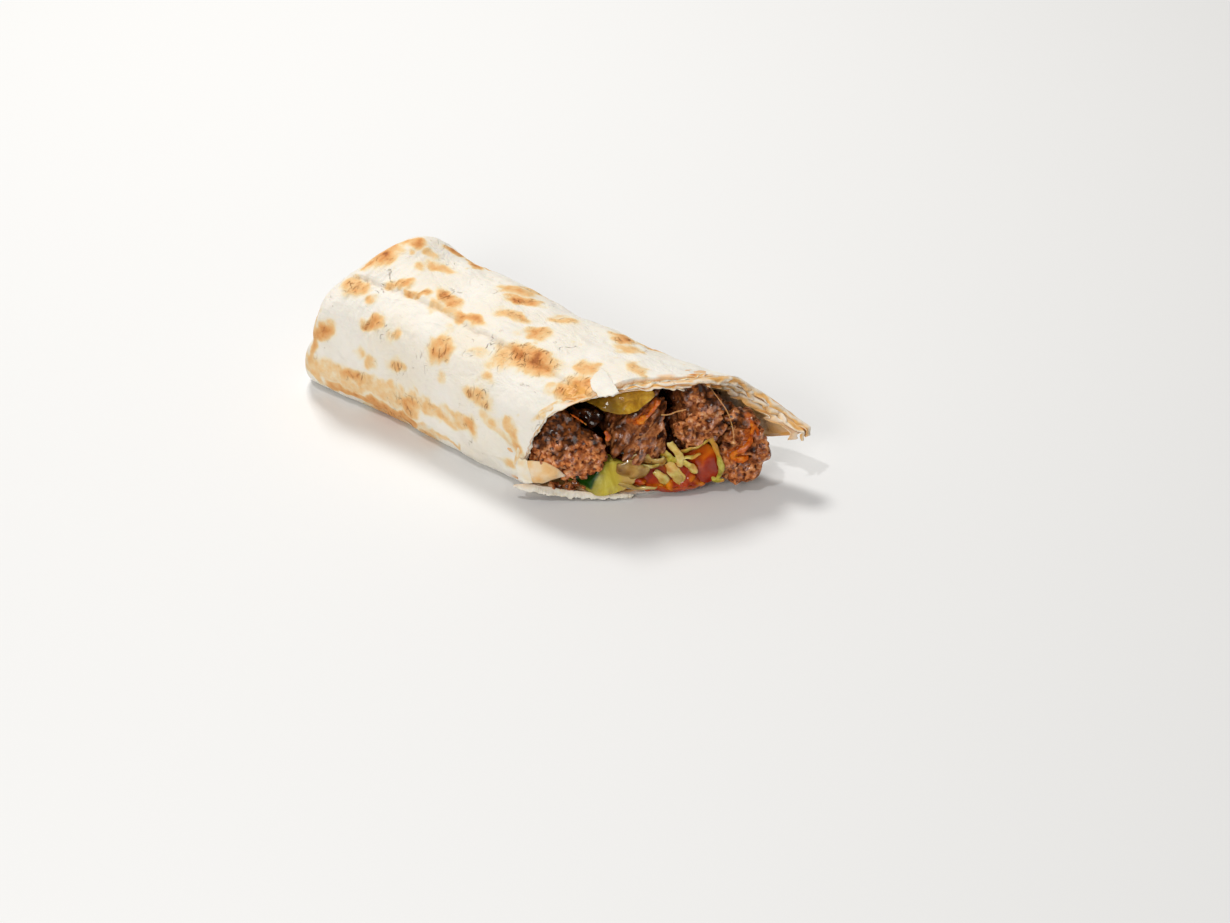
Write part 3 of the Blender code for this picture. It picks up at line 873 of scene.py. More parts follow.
def make_lip_leaf(index, finish):
    """One thin leaf of bread whose torn edge shows just inside the leaf outside it."""
    first, last, beyond, inset, droop, ruffle, wavelength, toasted, stained, seed = LIP_LEAVES[index]
    columns = int(abs(first - last) * LEAF_COLUMNS_PER_DEGREE)
    turns = np.linspace(first, last, columns)
    rim = rim_frame(turns % 360.0, LEAF_ROOT, inset * 0.001)
    line = rim_line(rim[0])
    share = np.linspace(0.0, 1.0, columns)
    ends = ease(np.minimum(share, 1.0 - share) * 12.0)
    bites = sum(bite * noise(line, size, seed + k) for k, (bite, size) in enumerate(LEAF_BITES))
    length = (LEAF_ROOT + 0.001 * (beyond + bites)) * (0.45 + 0.55 * ends)
    v = np.linspace(0.0, 1.0, LEAF_ROWS)[:, None]
    bend = math.radians(droop) * (1.0 + 0.6 * noise(line, 0.008, seed + 3))[None, :] * v**2
    place = beside(line, v, 0.005)
    phase = 2.0 * math.pi * line[:, 0] / (wavelength * 0.001) + 3.0 * noise(line, 0.013, seed + 4)
    waves = 0.001 * ruffle * (np.sin(phase)[None, :] + 0.8 * noise(place, 0.0035, seed + 5)) * v**1.6
    grid = rim_grid(rim, length[None, :] * v * np.cos(bend), length[None, :] * v * np.sin(bend) - waves)
    streaks = noise(place * np.array((0.35, 1.0, 1.0)), 0.0012, seed + 6)
    clouds = noise(place, 0.008, seed + 7)
    pale_edge = 1.0 - 0.75 * v**7
    toast = np.clip(toasted * (0.75 + 0.9 * streaks + 0.7 * clouds), 0.0, 1.0) * pale_edge
    stain = np.clip(stained * (0.8 + noise(place, 0.006, seed + 8)), 0.0, 1.0) * pale_edge
    thickness = SHEET_THICKNESS * (1.0 - 0.5 * v) * np.ones((LEAF_ROWS, columns))
    return add_rim_sheet(f"bread_lip_leaf_{index + 1}", grid, thickness, toast, stain, finish)


# The frayed strip in front of the lower lip, from its corner: x, y, height of its lower edge and of its upper
# edge, in cm in the CAD source's frame.
LIP_STRIP = (
    (11.46, -0.93, 0.585, 0.605), (11.60, -0.82, 0.51, 0.66), (11.86, -0.58, 0.42, 0.66),
    (12.10, -0.33, 0.34, 0.60), (12.42, 0.01, 0.24, 0.50), (12.88, 0.50, 0.15, 0.38),
    (13.28, 0.88, 0.11, 0.32), (13.66, 1.26, 0.10, 0.26), (14.02, 1.68, 0.10, 0.22),
    (14.26, 2.06, 0.11, 0.16),
)
LIP_STRIP_ROWS = 14
LIP_STRIP_COLUMNS = 260
LIP_STRIP_LEAN = 0.10
LIP_STRIP_THICKNESS = 0.00036


def make_lip_strip(finish):
    """The torn outermost sheet of the lower lip, which stands in front of the fillings and leans back."""
    line = smooth_line(LIP_STRIP, LIP_STRIP_COLUMNS)
    v = np.linspace(0.0, 1.0, LIP_STRIP_ROWS)[:, None]
    along = np.gradient(line[:, :2], axis=0)
    outward = unit(np.stack([along[:, 1], -along[:, 0]], -1))
    path = rim_line(np.concatenate([line[:, :2] * CM, np.zeros((len(line), 1))], axis=1))
    frayed = 0.055 * noise(path, 0.0021, 161) + 0.045 * noise(path, 0.0007, 162)
    frayed = frayed - 0.06 * ease((noise(path, 0.0035, 163) - 0.35) / 0.15)
    low = line[:, 2] + np.minimum(frayed, 0.5 * (line[:, 3] - line[:, 2]))
    high = line[:, 3] + 0.02 * noise(path, 0.0028, 164)
    place = beside(path, v, 0.003)
    lean = LIP_STRIP_LEAN * (0.7 - v) + 0.035 * noise(place, 0.0034, 165)
    x = line[:, 0] + outward[:, 0] * lean
    y = line[:, 1] + outward[:, 1] * lean
    grid = frame_place(np.stack([x, y, low + (high - low) * v], -1))
    streaks = noise(place * np.array((0.4, 1.0, 1.0)), 0.0012, 166)
    toast = np.clip(0.08 + 0.14 * streaks + 0.22 * noise(place, 0.007, 167), 0.0, 1.0)
    stain = np.clip(0.06 + 0.30 * v + 0.18 * noise(place, 0.006, 168), 0.0, 1.0)
    thickness = LIP_STRIP_THICKNESS * (1.0 - 0.4 * np.abs(2.0 * v - 1.0)) * np.ones(toast.shape)
    add_rim_sheet("bread_lip_strip", grid, thickness, toast, stain, finish)


# ================================================================ loose bits of bread
BIT_POINTS = 26
CREASE_TIP = (12.86, 0.18, 1.12)
# Loose bits beside the near lip: name, corner points in cm in the CAD source's frame, thickness m, toast,
# stain, seed, waves m, raggedness m.
BREAD_BITS = (
    ("bread_creased_bit", (
        ((11.79, -0.60, 1.60), (12.35, -0.36, 1.69), (12.66, -0.12, 1.50), CREASE_TIP),
        ((12.00, -0.64, 1.22), (12.46, -0.50, 1.27), (12.74, -0.22, 1.24), CREASE_TIP),
        ((12.01, -0.53, 0.80), (12.34, -0.37, 0.86), (12.60, -0.12, 1.02), CREASE_TIP)),
     0.0006, 0.30, 0.42, 141, 0.00015, 0.0003),
    ("bread_folded_bit", (
        ((11.55, -0.72, 1.66), (11.68, -0.68, 1.64), (11.80, -0.60, 1.61)),
        ((11.50, -0.78, 1.22), (11.74, -0.75, 1.20), (11.97, -0.61, 1.18)),
        ((11.57, -0.76, 0.84), (11.80, -0.70, 0.78), (12.02, -0.54, 0.76))),
     0.0007, 0.10, 0.10, 144, 0.0002, 0.0005),
)
# The torn bit on the top lip: station m, degrees, height over the bread m.
TORN_BIT = (
    ((0.1285, 100.6, 0.0014), (0.1346, 105.1, 0.0016), (0.1428, 112.0, 0.0012)),
    ((0.1294, 107.0, 0.0016), (0.1345, 112.0, 0.0018), (0.1420, 116.3, 0.0013)),
    ((0.1304, 113.6, 0.0012), (0.1346, 118.4, 0.0013), (0.1386, 121.0, 0.0009)),
)


def bread_bit(finish, name, corners, thickness, toast, stain, seed, wave, raggedness):
    """A small torn sheet of bread through a grid of corner points (rows of points in the frame)."""
    first = np.array([smooth_line(row, BIT_POINTS) for row in corners])
    grid = np.array([smooth_line(first[:, k], BIT_POINTS) for k in range(BIT_POINTS)]).transpose(1, 0, 2)
    u = np.linspace(-1.0, 1.0, BIT_POINTS)
    border = np.maximum(np.abs(u)[:, None], np.abs(u)[None, :]) ** 6
    out = unit(grid - grid.mean(axis=(0, 1)))
    grid = grid + out * (border * raggedness * noise(grid, 0.0016, seed))[..., None]
    normals = grid_normals(grid, closed=False)
    grid = grid + normals * (wave * noise(grid, 0.005, seed + 1))[..., None]
    points, faces = thick_sheet(grid, thickness)
    attributes = {
        "toast": np.clip(toast + 0.25 * noise(points, 0.004, seed + 2), 0, 1),
        "stain": np.full(len(points), stain),
    }
    return add_piece(name, points, fix_normals(points, faces), finish, attributes)


def make_bread_bits(finish):
    """The creased bit and the folded bit at the near lip, and the torn bit on the top lip."""
    for name, corners, *look in BREAD_BITS:
        bread_bit(finish, name, frame_place(corners), *look)
    stations, degrees, heights = np.moveaxis(np.array(TORN_BIT), -1, 0)
    corners = bread_surface(stations, degrees, -heights)
    bread_bit(finish, "bread_torn_bit", corners, 0.0006, 0.0, 0.0, 142, 0.00012, 0.0007)


# ================================================================ fillings: shared shapes
CUT_NORMAL = unit(np.array((1.0, -CUT_SLANT, 0.0)))
BACK_AND_UP = unit(np.array((-1.0, 0.15, 0.25)))
FACE_ROWS = 9


def cut_place(y, z, forward=0.0):
    """Points on the slanting cut from y and z in cm, moved forward along X by so many cm."""
    y, z, forward = np.broadcast_arrays(*(np.asarray(value, float) for value in (y, z, forward)))
    x = CUT_AT_NEAR + CUT_SLANT * y * CM + forward * CM
    return np.stack([x, y * CM, z * CM], -1) - PLAN_MIDDLE


def prism(outline, length, forward, back=(-1.0, 0.0, 0.0), *, sides, rows, rounding, bulge, shrink_back,
          tilt):
    """Rings of a rounded block: an outline in cm on the cut, carried back into the wrap.

    rounding is in cm. bulge pushes the middle of the face forward, and tilt leans the face: cm forward for
    each cm up.
    """
    line = smooth_line(outline, sides, closed=True)
    middle = line.mean(axis=0)
    rings = []
    for k in range(1, FACE_ROWS + 1):
        share = k / FACE_ROWS
        scale = math.sin(0.5 * math.pi * share)
        y, z = (middle + (line - middle) * scale).T
        edge_drop = rounding * (1.0 - math.sqrt(max(1.0 - share**6, 0.0)))
        ahead = forward + bulge * (1.0 - scale**2) - edge_drop + tilt * (z - middle[1])
        rings.append(cut_place(y, z, ahead))
    y, z = line.T
    rim = cut_place(y, z, forward - rounding + tilt * (z - middle[1]))
    centre = cut_place(middle[0], middle[1], forward)
    direction = unit(np.asarray(back, float))
    for k in range(1, rows + 1):
        share = (k / rows) ** 1.5
        narrowing = 1.0 - shrink_back * share
        rings.append(centre + (rim - centre) * narrowing + direction * length * CM * share)
    return np.array(rings)


def ball():
    """Points and faces of a unit ball of small triangles."""
    body = bmesh.new()
    bmesh.ops.create_icosphere(body, subdivisions=2, radius=1.0)
    points = np.array([v.co[:] for v in body.verts])
    faces = [tuple(v.index for v in face.verts) for face in body.faces]
    body.free()
    return points, faces


BALL_POINTS, BALL_FACES = ball()


def lumps(centres, radii, seed, unevenness=0.28, stretch=0.35, along=None):
    """Uneven little balls, one for each centre, drawn out in one direction if that is given."""
    chance = np.random.default_rng(seed)
    parts = []
    draw_out = np.eye(3)
    if along:
        direction = unit(np.array(along))
        draw_out = 0.8 * draw_out + 1.1 * np.outer(direction, direction)
    for centre, radius in zip(centres, radii):
        scale = 1.0 + chance.uniform(-stretch, stretch, 3)
        turn = Matrix.Rotation(chance.uniform(0, 6.28), 3, Vector(chance.normal(size=3)).normalized())
        bumpy = 1.0 + unevenness * noise(BALL_POINTS + chance.uniform(0, 50, 3), 0.9, seed)
        points = (BALL_POINTS * bumpy[:, None] * scale) @ np.array(turn) @ draw_out
        parts.append((centre + radius * points, BALL_FACES))
    return parts


def inside_outline(line, count, chance):
    """Random places within a closed outline."""
    low, high = line.min(axis=0), line.max(axis=0)
    found = []
    following = np.roll(line, -1, axis=0)
    while len(found) < count:
        place = chance.uniform(low, high)
        crosses = (line[:, 1] > place[1]) != (following[:, 1] > place[1])
        with np.errstate(divide="ignore", invalid="ignore"):
            at = line[:, 0] + (place[1] - line[:, 1]) * (following[:, 0] - line[:, 0]) / (
                following[:, 1] - line[:, 1])
        if np.count_nonzero(crosses & (place[0] < at)) % 2:
            found.append(place)
    return np.array(found)


# ================================================================ beef
MEAT_VOXEL = 0.00042
SCRAP_VOXEL = 0.0003
MEAT_DEPTH = 1.7

# Outline of each piece of beef on the cut, in cm (y, z); how far forward of the cut its face lies, and how
# much it leans; which way it runs back; above which height it is crust; how many crumbs and knobs it has;
# which way its fibres run; how pale its inside is.
BEEF = {
    "beef_near": {
        "outline": ((-0.34, 1.30), (-0.40, 2.10), (-0.32, 2.80), (0.00, 3.28), (0.32, 3.44), (0.62, 3.28),
                    (0.80, 3.02), (0.94, 2.68), (1.22, 2.50), (1.38, 2.30), (1.46, 1.75), (1.34, 1.28),
                    (1.02, 0.92), (0.55, 0.82), (0.12, 0.85), (-0.20, 1.02)),
        "forward": 0.16, "tilt": -0.16, "back": (-1.0, 0.0, 0.0), "crust_above": 2.30, "crumbs": 260,
        "knobs": 30, "fibres": None, "seed": 3, "paleness": 1.0,
    },
    "beef_middle": {
        "outline": ((1.70, 2.50), (1.70, 1.92), (2.02, 1.48), (2.46, 1.36), (2.86, 1.52), (3.04, 2.00),
                    (3.06, 2.70), (3.08, 3.40), (3.06, 4.02), (2.84, 4.02), (2.56, 3.58), (2.22, 3.20),
                    (1.84, 2.98)),
        "forward": 0.02, "tilt": -0.16, "back": (-1.0, 0.30, 0.0), "crust_above": 3.2, "crumbs": 60,
        "knobs": 40, "fibres": (0.25, 0.55, 0.80), "seed": 5, "paleness": 0.44,
    },
    "beef_upper": {
        "outline": ((3.60, 2.90), (3.60, 3.55), (3.68, 4.08), (3.94, 4.22), (4.28, 4.06), (4.52, 3.55),
                    (4.58, 2.90), (4.54, 2.36), (4.24, 2.04), (3.88, 1.84), (3.52, 1.80), (3.36, 2.16),
                    (3.50, 2.50)),
        "forward": 0.02, "tilt": -0.14, "back": (-1.0, 0.35, 0.0), "crust_above": 3.60, "crumbs": 190,
        "knobs": 34, "fibres": None, "seed": 7, "paleness": 0.74,
    },
    "beef_far": {
        "outline": ((4.94, 3.10), (5.14, 3.28), (5.40, 3.06), (5.60, 2.64), (5.74, 2.05), (5.76, 1.50),
                    (5.60, 0.94), (5.34, 0.48), (5.02, 0.30), (4.76, 0.42), (4.68, 0.92), (4.86, 1.24),
                    (4.92, 1.75), (4.92, 2.40)),
        "forward": -0.04, "tilt": -0.05, "back": (-1.0, -0.36, 0.0), "crust_above": 2.7, "crumbs": 230,
        "knobs": 38, "fibres": None, "seed": 9, "paleness": 0.80,
    },
}
# How much of the outline the core, the knobs on the face and the crumbs fill.
CORE_SHARE = 0.86
KNOB_SHARE = 0.78
CRUMB_SHARE = 0.92
KNOB_RADIUS = (0.0016, 0.0036)
CRUMB_RADIUS = (0.0005, 0.0011)
# How far forward of the cut the knobs round the rim, the knobs on the face and the crumbs lie, in cm.
RIM_LAYER = (-0.25, -0.10)
KNOB_LAYER = (-0.22, -0.10)
CRUMB_LAYER = (-0.13, -0.01)
CRUST_SLOPE = 0.35
CRUST_FADE = 0.60
# Relief of the meat: sizes of its cells, roughness and pores, and their heights, in metres.
COARSE_CELLS = 0.0034
FINE_CELLS = 0.0012
ROUGH_SIZE = 0.0026
PORE_SIZE = 0.0015
COARSE_HEIGHT = 0.00028
FINE_CELL_HEIGHT = 0.00026
ROUGH_HEIGHT = 0.00014
ROUGH_HEIGHT_OF_CUT = 0.00034
PORE_DEPTH = 0.0007
# Along its fibres the meat is drawn out, and its relief is softer.
FIBRE_STRETCH = 0.72
FIBRE_SOFTNESS = 0.45
# Painted shade: gaps are darkened from this depth behind the face, in cm.
DARK_FROM = 0.35
DARK_OVER = 0.5
STRAND_LOW = 0.0034
STRAND_HIGH = 0.0405
STRAND_ROWS = 13


def sauce_closeness(points):
    """1 under the lines of orange sauce, 0 away from them; thin lines reach less far."""
    closest = np.full(len(points), 9.0)
    for path, first, last in SAUCE_LINES:
        line = smooth_line(path, 10 * len(path))
        for place in cut_place(line[:, 0], line[:, 1], line[:, 2] - 0.1):
            gap = np.linalg.norm(points - place, axis=1) / (0.0010 * (first + last))
            closest = np.minimum(closest, gap)
    return 1.0 - ease((closest - 0.35) / 1.0)


def meat_surface(parts, seed, crumbly, fibres=None, voxel=MEAT_VOXEL):
    """A crumbly skin over overlapping parts, with its attributes.

    crumbly is a function of points and normals: 1 where the meat is cut and crumbly, 0 where it is crust.
    """
    points, normals, faces = remeshed(*join_parts(parts), voxel)
    stretched = points.copy()
    if fibres:
        along = unit(np.array(fibres))
        stretched = points - FIBRE_STRETCH * np.outer(points @ along, along)
    cut = crumbly(points, normals)
    coarse, _ = cells(stretched, COARSE_CELLS, seed + 5)
    fine, number = cells(stretched, FINE_CELLS, seed)
    rough = fractal(stretched, ROUGH_SIZE, 3, seed + 8)
    pores = ease((noise(stretched, PORE_SIZE, seed + 6) - 0.36) / 0.18) * ease(cut * 3.0)
    soft = FIBRE_SOFTNESS if fibres else 1.0
    height = soft * (COARSE_HEIGHT * (0.5 - coarse) + FINE_CELL_HEIGHT * cut * (0.45 - fine))
    height = height + soft * (ROUGH_HEIGHT + ROUGH_HEIGHT_OF_CUT * cut) * rough - PORE_DEPTH * pores
    points = points + normals * height[:, None]
    # Painted shade in the hollows of the relief and in the pores, as a darkening value for the material.
    hollow = ease((0.40 * coarse + 0.26 * fine - 0.45 * rough - 0.38) / 0.55)
    deep = np.maximum((0.55 + 0.45 * soft) * hollow, pores)
    attributes = {"inside": cut, "deep": deep, "crumb": number, "sauce": sauce_closeness(points)}
    return points, faces, attributes


def strand_behind(looks, outline):
    """The hidden rest of a piece, which runs on towards the shut end."""
    back = unit(np.array(looks["back"]))
    middle = outline.mean(axis=0)
    place = cut_place(middle[0], middle[1], looks["forward"])
    plain = cut_place(outline[::5, 0], outline[::5, 1], looks["forward"]) - place
    start = place + back * (MEAT_DEPTH - 0.5) * CM
    length = max(start[0] + PLAN_MIDDLE[0] - STRAND_START, 0.02)
    rings = []
    for share in np.linspace(0.0, 1.0, STRAND_ROWS):
        scale = 0.86 * math.sqrt(max(1.0 - (2.0 * share - 1.0) ** 8, 0.02))
        x = start[0] - share * length
        drift = middle_y(x + PLAN_MIDDLE[0]) - middle_y(start[0] + PLAN_MIDDLE[0])
        bend = (1.0 - math.exp(-share * length / 0.02)) * 0.02 * min(back[1], 0.0) / -back[0]
        ring = np.array((x, start[1] + drift + bend, start[2])) + plain * scale
        ring[:, 2] = np.clip(ring[:, 2], STRAND_LOW, STRAND_HIGH)
        rings.append(ring)
    points, faces = tube_shell(np.array(rings))
    return points, fix_normals(points, faces)


def beef_parts(looks, outline):
    """A rounded block with knobs round it and crumbs on its cut face, as overlapping closed bodies."""
    seed, fibres, forward, tilt = (looks[key] for key in ("seed", "fibres", "forward", "tilt"))
    chance = np.random.default_rng(seed)
    back = unit(np.array(looks["back"]))
    middle = outline.mean(axis=0)

    def on_face(places, ahead):
        return cut_place(places[:, 0], places[:, 1], forward + ahead + tilt * (places[:, 1] - middle[1]))

    smaller = middle + (np.array(looks["outline"]) - middle) * CORE_SHARE
    rings = prism(smaller, MEAT_DEPTH, forward - 0.08, back, sides=64, rows=14, rounding=0.26, bulge=0.06,
                  shrink_back=0.06, tilt=tilt)
    core_points, core_faces = tube_shell(rings)
    parts = [(core_points, fix_normals(core_points, core_faces))]
    knobs = looks["knobs"]
    sizes = chance.uniform(*KNOB_RADIUS, knobs)
    outward = outline[chance.integers(0, len(outline), knobs)] - middle
    inward = 1.0 - sizes / (np.linalg.norm(outward, axis=1) * CM)
    rim = on_face(middle + outward * inward[:, None], chance.uniform(*RIM_LAYER, knobs))
    rim = rim + back * (chance.uniform(0.0, 1.0, knobs) ** 1.6 * 1.3 * CM)[:, None]
    parts += lumps(rim, sizes, seed + 1, along=fibres)
    bumps = knobs // 2
    places = inside_outline(middle + (outline - middle) * KNOB_SHARE, bumps, chance)
    places = on_face(places, chance.uniform(*KNOB_LAYER, bumps))
    parts += lumps(places, chance.uniform(*KNOB_RADIUS, bumps), seed + 2, along=fibres)
    crumbs = looks["crumbs"]
    places = inside_outline(middle + (outline - middle) * CRUMB_SHARE, crumbs, chance)
    places = on_face(places, chance.uniform(*CRUMB_LAYER, crumbs))
    parts += lumps(places, chance.uniform(*CRUMB_RADIUS, crumbs), seed + 3)
    edge = middle + (outline[chance.integers(0, len(outline), crumbs // 2)] - middle) * CRUMB_SHARE
    edge = on_face(edge, -0.10) + back * (chance.uniform(0.0, 0.8, crumbs // 2) * CM)[:, None]
    parts += lumps(edge, chance.uniform(*CRUMB_RADIUS, crumbs // 2), seed + 4)
    return parts


def make_beef(name, looks, finish):
    """One piece of beef at the cut, with the strand that runs on behind it."""
    outline = smooth_line(looks["outline"], 120, closed=True)
    middle = outline.mean(axis=0)

    def crumbly(points, normals):
        facing = ease((normals @ CUT_NORMAL - 0.02) / 0.45)
        y, z = (points[:, 1] + PLAN_MIDDLE[1]) / CM, points[:, 2] / CM
        height = (z - looks["crust_above"] - CRUST_SLOPE * (y - middle[0])) / CRUST_FADE
        uneven = 1.5 * noise(points, 0.006, looks["seed"] + 5) + 0.5
        return facing * (1.0 - ease(height + uneven)) * looks["paleness"]

    parts = beef_parts(looks, outline)
    points, faces, attributes = meat_surface(parts, looks["seed"], crumbly, looks["fibres"])
    depth = (cut_place(0.0, 0.0, looks["forward"]) - points) @ CUT_NORMAL / CM
    # Painted shade in the gaps: the parts far behind the face are darkened.
    attributes["deep"] = np.maximum(attributes["deep"], 0.9 * ease((depth - DARK_FROM) / DARK_OVER))
    behind = strand_behind(looks, outline)
    joined, joined_faces = join_parts([(points, faces), behind])
    # Painted shade: the strand behind is darkened almost to black, as it shows only in the gaps.
    for label, value in (("inside", 0.0), ("deep", 0.95), ("crumb", 0.4), ("sauce", 0.0)):
        attributes[label] = np.concatenate([attributes[label], np.full(len(behind[0]), value)])
    return add_piece(f"{name}_meat", joined, joined_faces, finish, attributes, (name,))


# Crumbs in the gaps between the pieces: y, z, forward and spread in cm, number, smallest and largest radius
# in mm.
RUBBLE_HEAPS = (
    (1.62, 2.60, -1.30, 0.22, 18, 1.2, 2.6), (1.20, 3.30, -1.60, 0.30, 26, 1.2, 2.6),
    (3.30, 3.25, -2.60, 0.22, 16, 1.2, 2.4), (3.26, 2.20, -1.00, 0.22, 16, 1.0, 2.2),
    (4.70, 3.10, -1.20, 0.22, 24, 1.2, 2.6), (4.66, 2.10, -0.85, 0.22, 22, 1.2, 2.6),
    (4.55, 1.20, -0.90, 0.25, 18, 1.2, 2.4), (2.60, 1.50, -0.80, 0.30, 20, 1.0, 2.4),
    (3.80, 1.80, -0.70, 0.25, 16, 1.0, 2.2),
)


def make_beef_rubble(finish):
    """Crumbs of beef far back in the gaps between the pieces, darkened with painted shade."""
    chance = np.random.default_rng(21)
    centres = []
    radii = []
    for y, z, forward, spread, count, small, large in RUBBLE_HEAPS:
        places = np.array((y, z)) + chance.normal(size=(count, 2)) * spread * 0.6
        ahead = forward + chance.normal(size=count) * 0.18
        centres.append(cut_place(places[:, 0], np.clip(places[:, 1], 0.5, 3.95), ahead))
        radii.append(chance.uniform(small, large, count) * 0.001)
    parts = lumps(np.concatenate(centres), np.concatenate(radii), 22)
    points, faces, attributes = meat_surface(parts, 23, lambda places, normals: np.full(len(places), 0.05))
    # Painted shade: the rubble is darkened almost to black.
    attributes["deep"] = np.clip(attributes["deep"] + 0.70, 0.0, 1.0)
    return add_piece("beef_rubble", points, faces, finish, attributes)


def make_beef_scrap(finish):
    """The scraps of beef on the lower lip, under the creased bit of bread."""
    chance = np.random.default_rng(31)
    y = np.concatenate([chance.uniform(0.05, 0.75, 26), chance.uniform(0.8, 1.0, 3)])
    z = np.concatenate([chance.uniform(0.42, 0.58, 26), chance.uniform(0.40, 0.46, 3)])
    centres = cut_place(y, z, -0.10 + 0.1 * chance.normal(size=len(y)))
    parts = lumps(centres, chance.uniform(0.0006, 0.0012, len(y)), 32)
    points, faces, attributes = meat_surface(parts, 33, lambda places, normals: np.full(len(places), 0.7),
                                             voxel=SCRAP_VOXEL)
    return add_piece("beef_scraps_on_lip", points, faces, finish, attributes, ("beef_scrap",))


# ================================================================ vegetables in blocks
# Outline of each block on the cut in cm (y, z); its unevenness as height m, size m, octaves and seed; and its
# shape.
BLOCKS = {
    "pickle": (
        ((1.22, 3.62), (1.30, 3.74), (1.55, 3.92), (1.84, 4.06), (2.16, 4.18), (2.46, 4.20), (2.72, 4.08),
         (2.74, 3.92), (2.46, 3.72), (2.11, 3.49), (1.69, 3.42), (1.35, 3.49)),
        (0.00028, 0.0035, 3, 41),
        {"length": 3.0, "forward": 0.10, "sides": 110, "rows": 30, "rounding": 0.16, "bulge": 0.05,
         "shrink_back": 0.1, "tilt": -0.75}),
    "cucumber": (
        ((1.00, 0.24), (0.88, 0.52), (1.02, 0.86), (1.28, 1.22), (1.58, 1.40), (1.92, 1.36), (2.20, 1.08),
         (2.12, 0.72), (1.82, 0.46), (1.40, 0.28)),
        (0.00016, 0.003, 3, 43),
        {"length": 3.6, "forward": 0.24, "sides": 110, "rows": 30, "rounding": 0.07, "bulge": 0.02,
         "shrink_back": 0.05, "tilt": -0.35}),
    "tomato_near": (
        ((2.20, 0.40), (2.24, 0.78), (2.42, 1.06), (2.75, 1.20), (3.10, 1.16), (3.30, 0.90), (3.34, 0.55),
         (3.10, 0.34), (2.65, 0.28)),
        (0.0003, 0.005, 2, 45),
        {"length": 3.0, "forward": 0.02, "sides": 90, "rows": 24, "rounding": 0.14, "bulge": 0.05,
         "shrink_back": 0.1, "tilt": -0.5}),
    "tomato_far": (
        ((3.70, 0.55), (3.66, 1.10), (3.78, 1.62), (4.02, 1.90), (4.28, 1.84), (4.44, 1.45), (4.46, 0.95),
         (4.32, 0.58), (4.00, 0.42)),
        (0.00018, 0.006, 2, 47),
        {"length": 3.0, "forward": 0.0, "back": (-1.0, -0.08, 0.0), "sides": 90, "rows": 24, "rounding": 0.24,
         "bulge": 0.10, "shrink_back": 0.1, "tilt": -0.25}),
}
PICKLE_TOP = 0.0427
CUCUMBER_UNDERSIDE = 0.0024
# Where skin and seeds begin, where the pickle turns darker towards its near side, and over what length they
# fade: shares of the rings, or cm on the cut.
PICKLE_RIM = (0.16, 0.10)
PICKLE_NEAR_SIDE = (1.95, 0.55)
CUCUMBER_SKIN = (0.02, 0.10)
CUCUMBER_SEEDS_Y = (1.55, 0.25)
CUCUMBER_SEEDS_Z = (1.25, 0.3)


def block_rings(node):
    """Rings of one block, with its uneven surface, and their y and z on the cut in cm."""
    outline, (height, size, octaves, seed), shape = BLOCKS[node]
    rings = prism(outline, **shape)
    normals = grid_normals(rings, closed=True)
    rings = rings + normals * (height * fractal(rings, size, octaves, seed))[..., None]
    return rings, (rings[..., 1] + PLAN_MIDDLE[1]) / CM, rings[..., 2] / CM


def add_block(name, rings, finish, slot, node, **attributes):
    """A block of vegetable in place of its CAD node; an attribute has a value for each point of the rings."""
    points, faces = tube_shell(rings)
    filled = {label: np.concatenate([values.ravel(), np.zeros(2)]) for label, values in attributes.items()}
    return add_piece(name, points, fix_normals(points, faces), finish, filled, (node,))


def make_pickle(finish):
    rings, y, _ = block_rings("pickle")
    rings[..., 2] = np.minimum(rings[..., 2], PICKLE_TOP)
    rim = np.linspace(0.0, 1.0, len(rings))[:, None] * np.ones(rings.shape[1])
    # The pickle is also given the skin's dark colour towards its near side.
    skin = np.maximum(above(rim, PICKLE_RIM), 0.85 * below(y, PICKLE_NEAR_SIDE))
    return add_block("pickle_slice", rings, finish, "pickle", "pickle", skin=skin)


def make_cucumber(finish):
    rings, y, _ = block_rings("cucumber")
    rings[..., 2] = np.maximum(rings[..., 2], CUCUMBER_UNDERSIDE)
    z = rings[..., 2] / CM
    along_edge = (y - 0.82) - 0.55 * (z - 0.45)
    skin = np.maximum(1.0 - above(along_edge, CUCUMBER_SKIN), 0.35 * hump(along_edge, 0.12, 0.12))
    seeds = above(y, CUCUMBER_SEEDS_Y) * below(z, CUCUMBER_SEEDS_Z)
    return add_block("cucumber_wedge", rings, finish, "cucumber", "cucumber", skin=skin, seeds=seeds)


TOMATO_SKIN = ((2.30, 0.40, 0.16), (2.60, 0.36, 0.22), (2.95, 0.30, 0.24), (3.35, 0.28, 0.22),
               (3.70, 0.30, 0.12), (3.92, 0.36, 0.02))


def make_tomatoes(finish):
    """The two pieces of tomato, and the strip of skin below the near one."""
    rings, _, _ = block_rings("tomato_near")
    pale = ease(0.2 + noise(rings, 0.006, 46))
    add_block("tomato_near_piece", rings, finish, "tomato", "tomato_near", pale=pale)
    rings, _, z = block_rings("tomato_far")
    add_block("tomato_far_piece", rings, finish, "tomato", "tomato_far", pale=0.5 * ease((z - 1.3) / 0.6))
    add_ribbon(finish, "tomato", "tomato_skin", TOMATO_SKIN, 60, 0.36, 0.0012, 0.04, 0.0, 0.05, 0.45, 0.5, 48)


# Wet tomato pulp between the pieces: (y, z, forward) in cm and radius in mm.
PULP = (
    (3.44, 0.92, 0.10, 2.6), (3.58, 0.66, 0.14, 2.4), (3.40, 0.50, 0.16, 2.0), (3.74, 0.50, 0.12, 1.9),
    (3.10, 0.44, 0.14, 2.0), (2.80, 0.38, 0.16, 1.8), (2.50, 0.36, 0.14, 1.7), (3.92, 0.42, 0.06, 1.5),
    (3.62, 0.98, 0.02, 2.2), (3.30, 1.10, -0.04, 2.6), (2.30, 0.62, 0.06, 2.2),
)
PULP_VOXEL = 0.00040


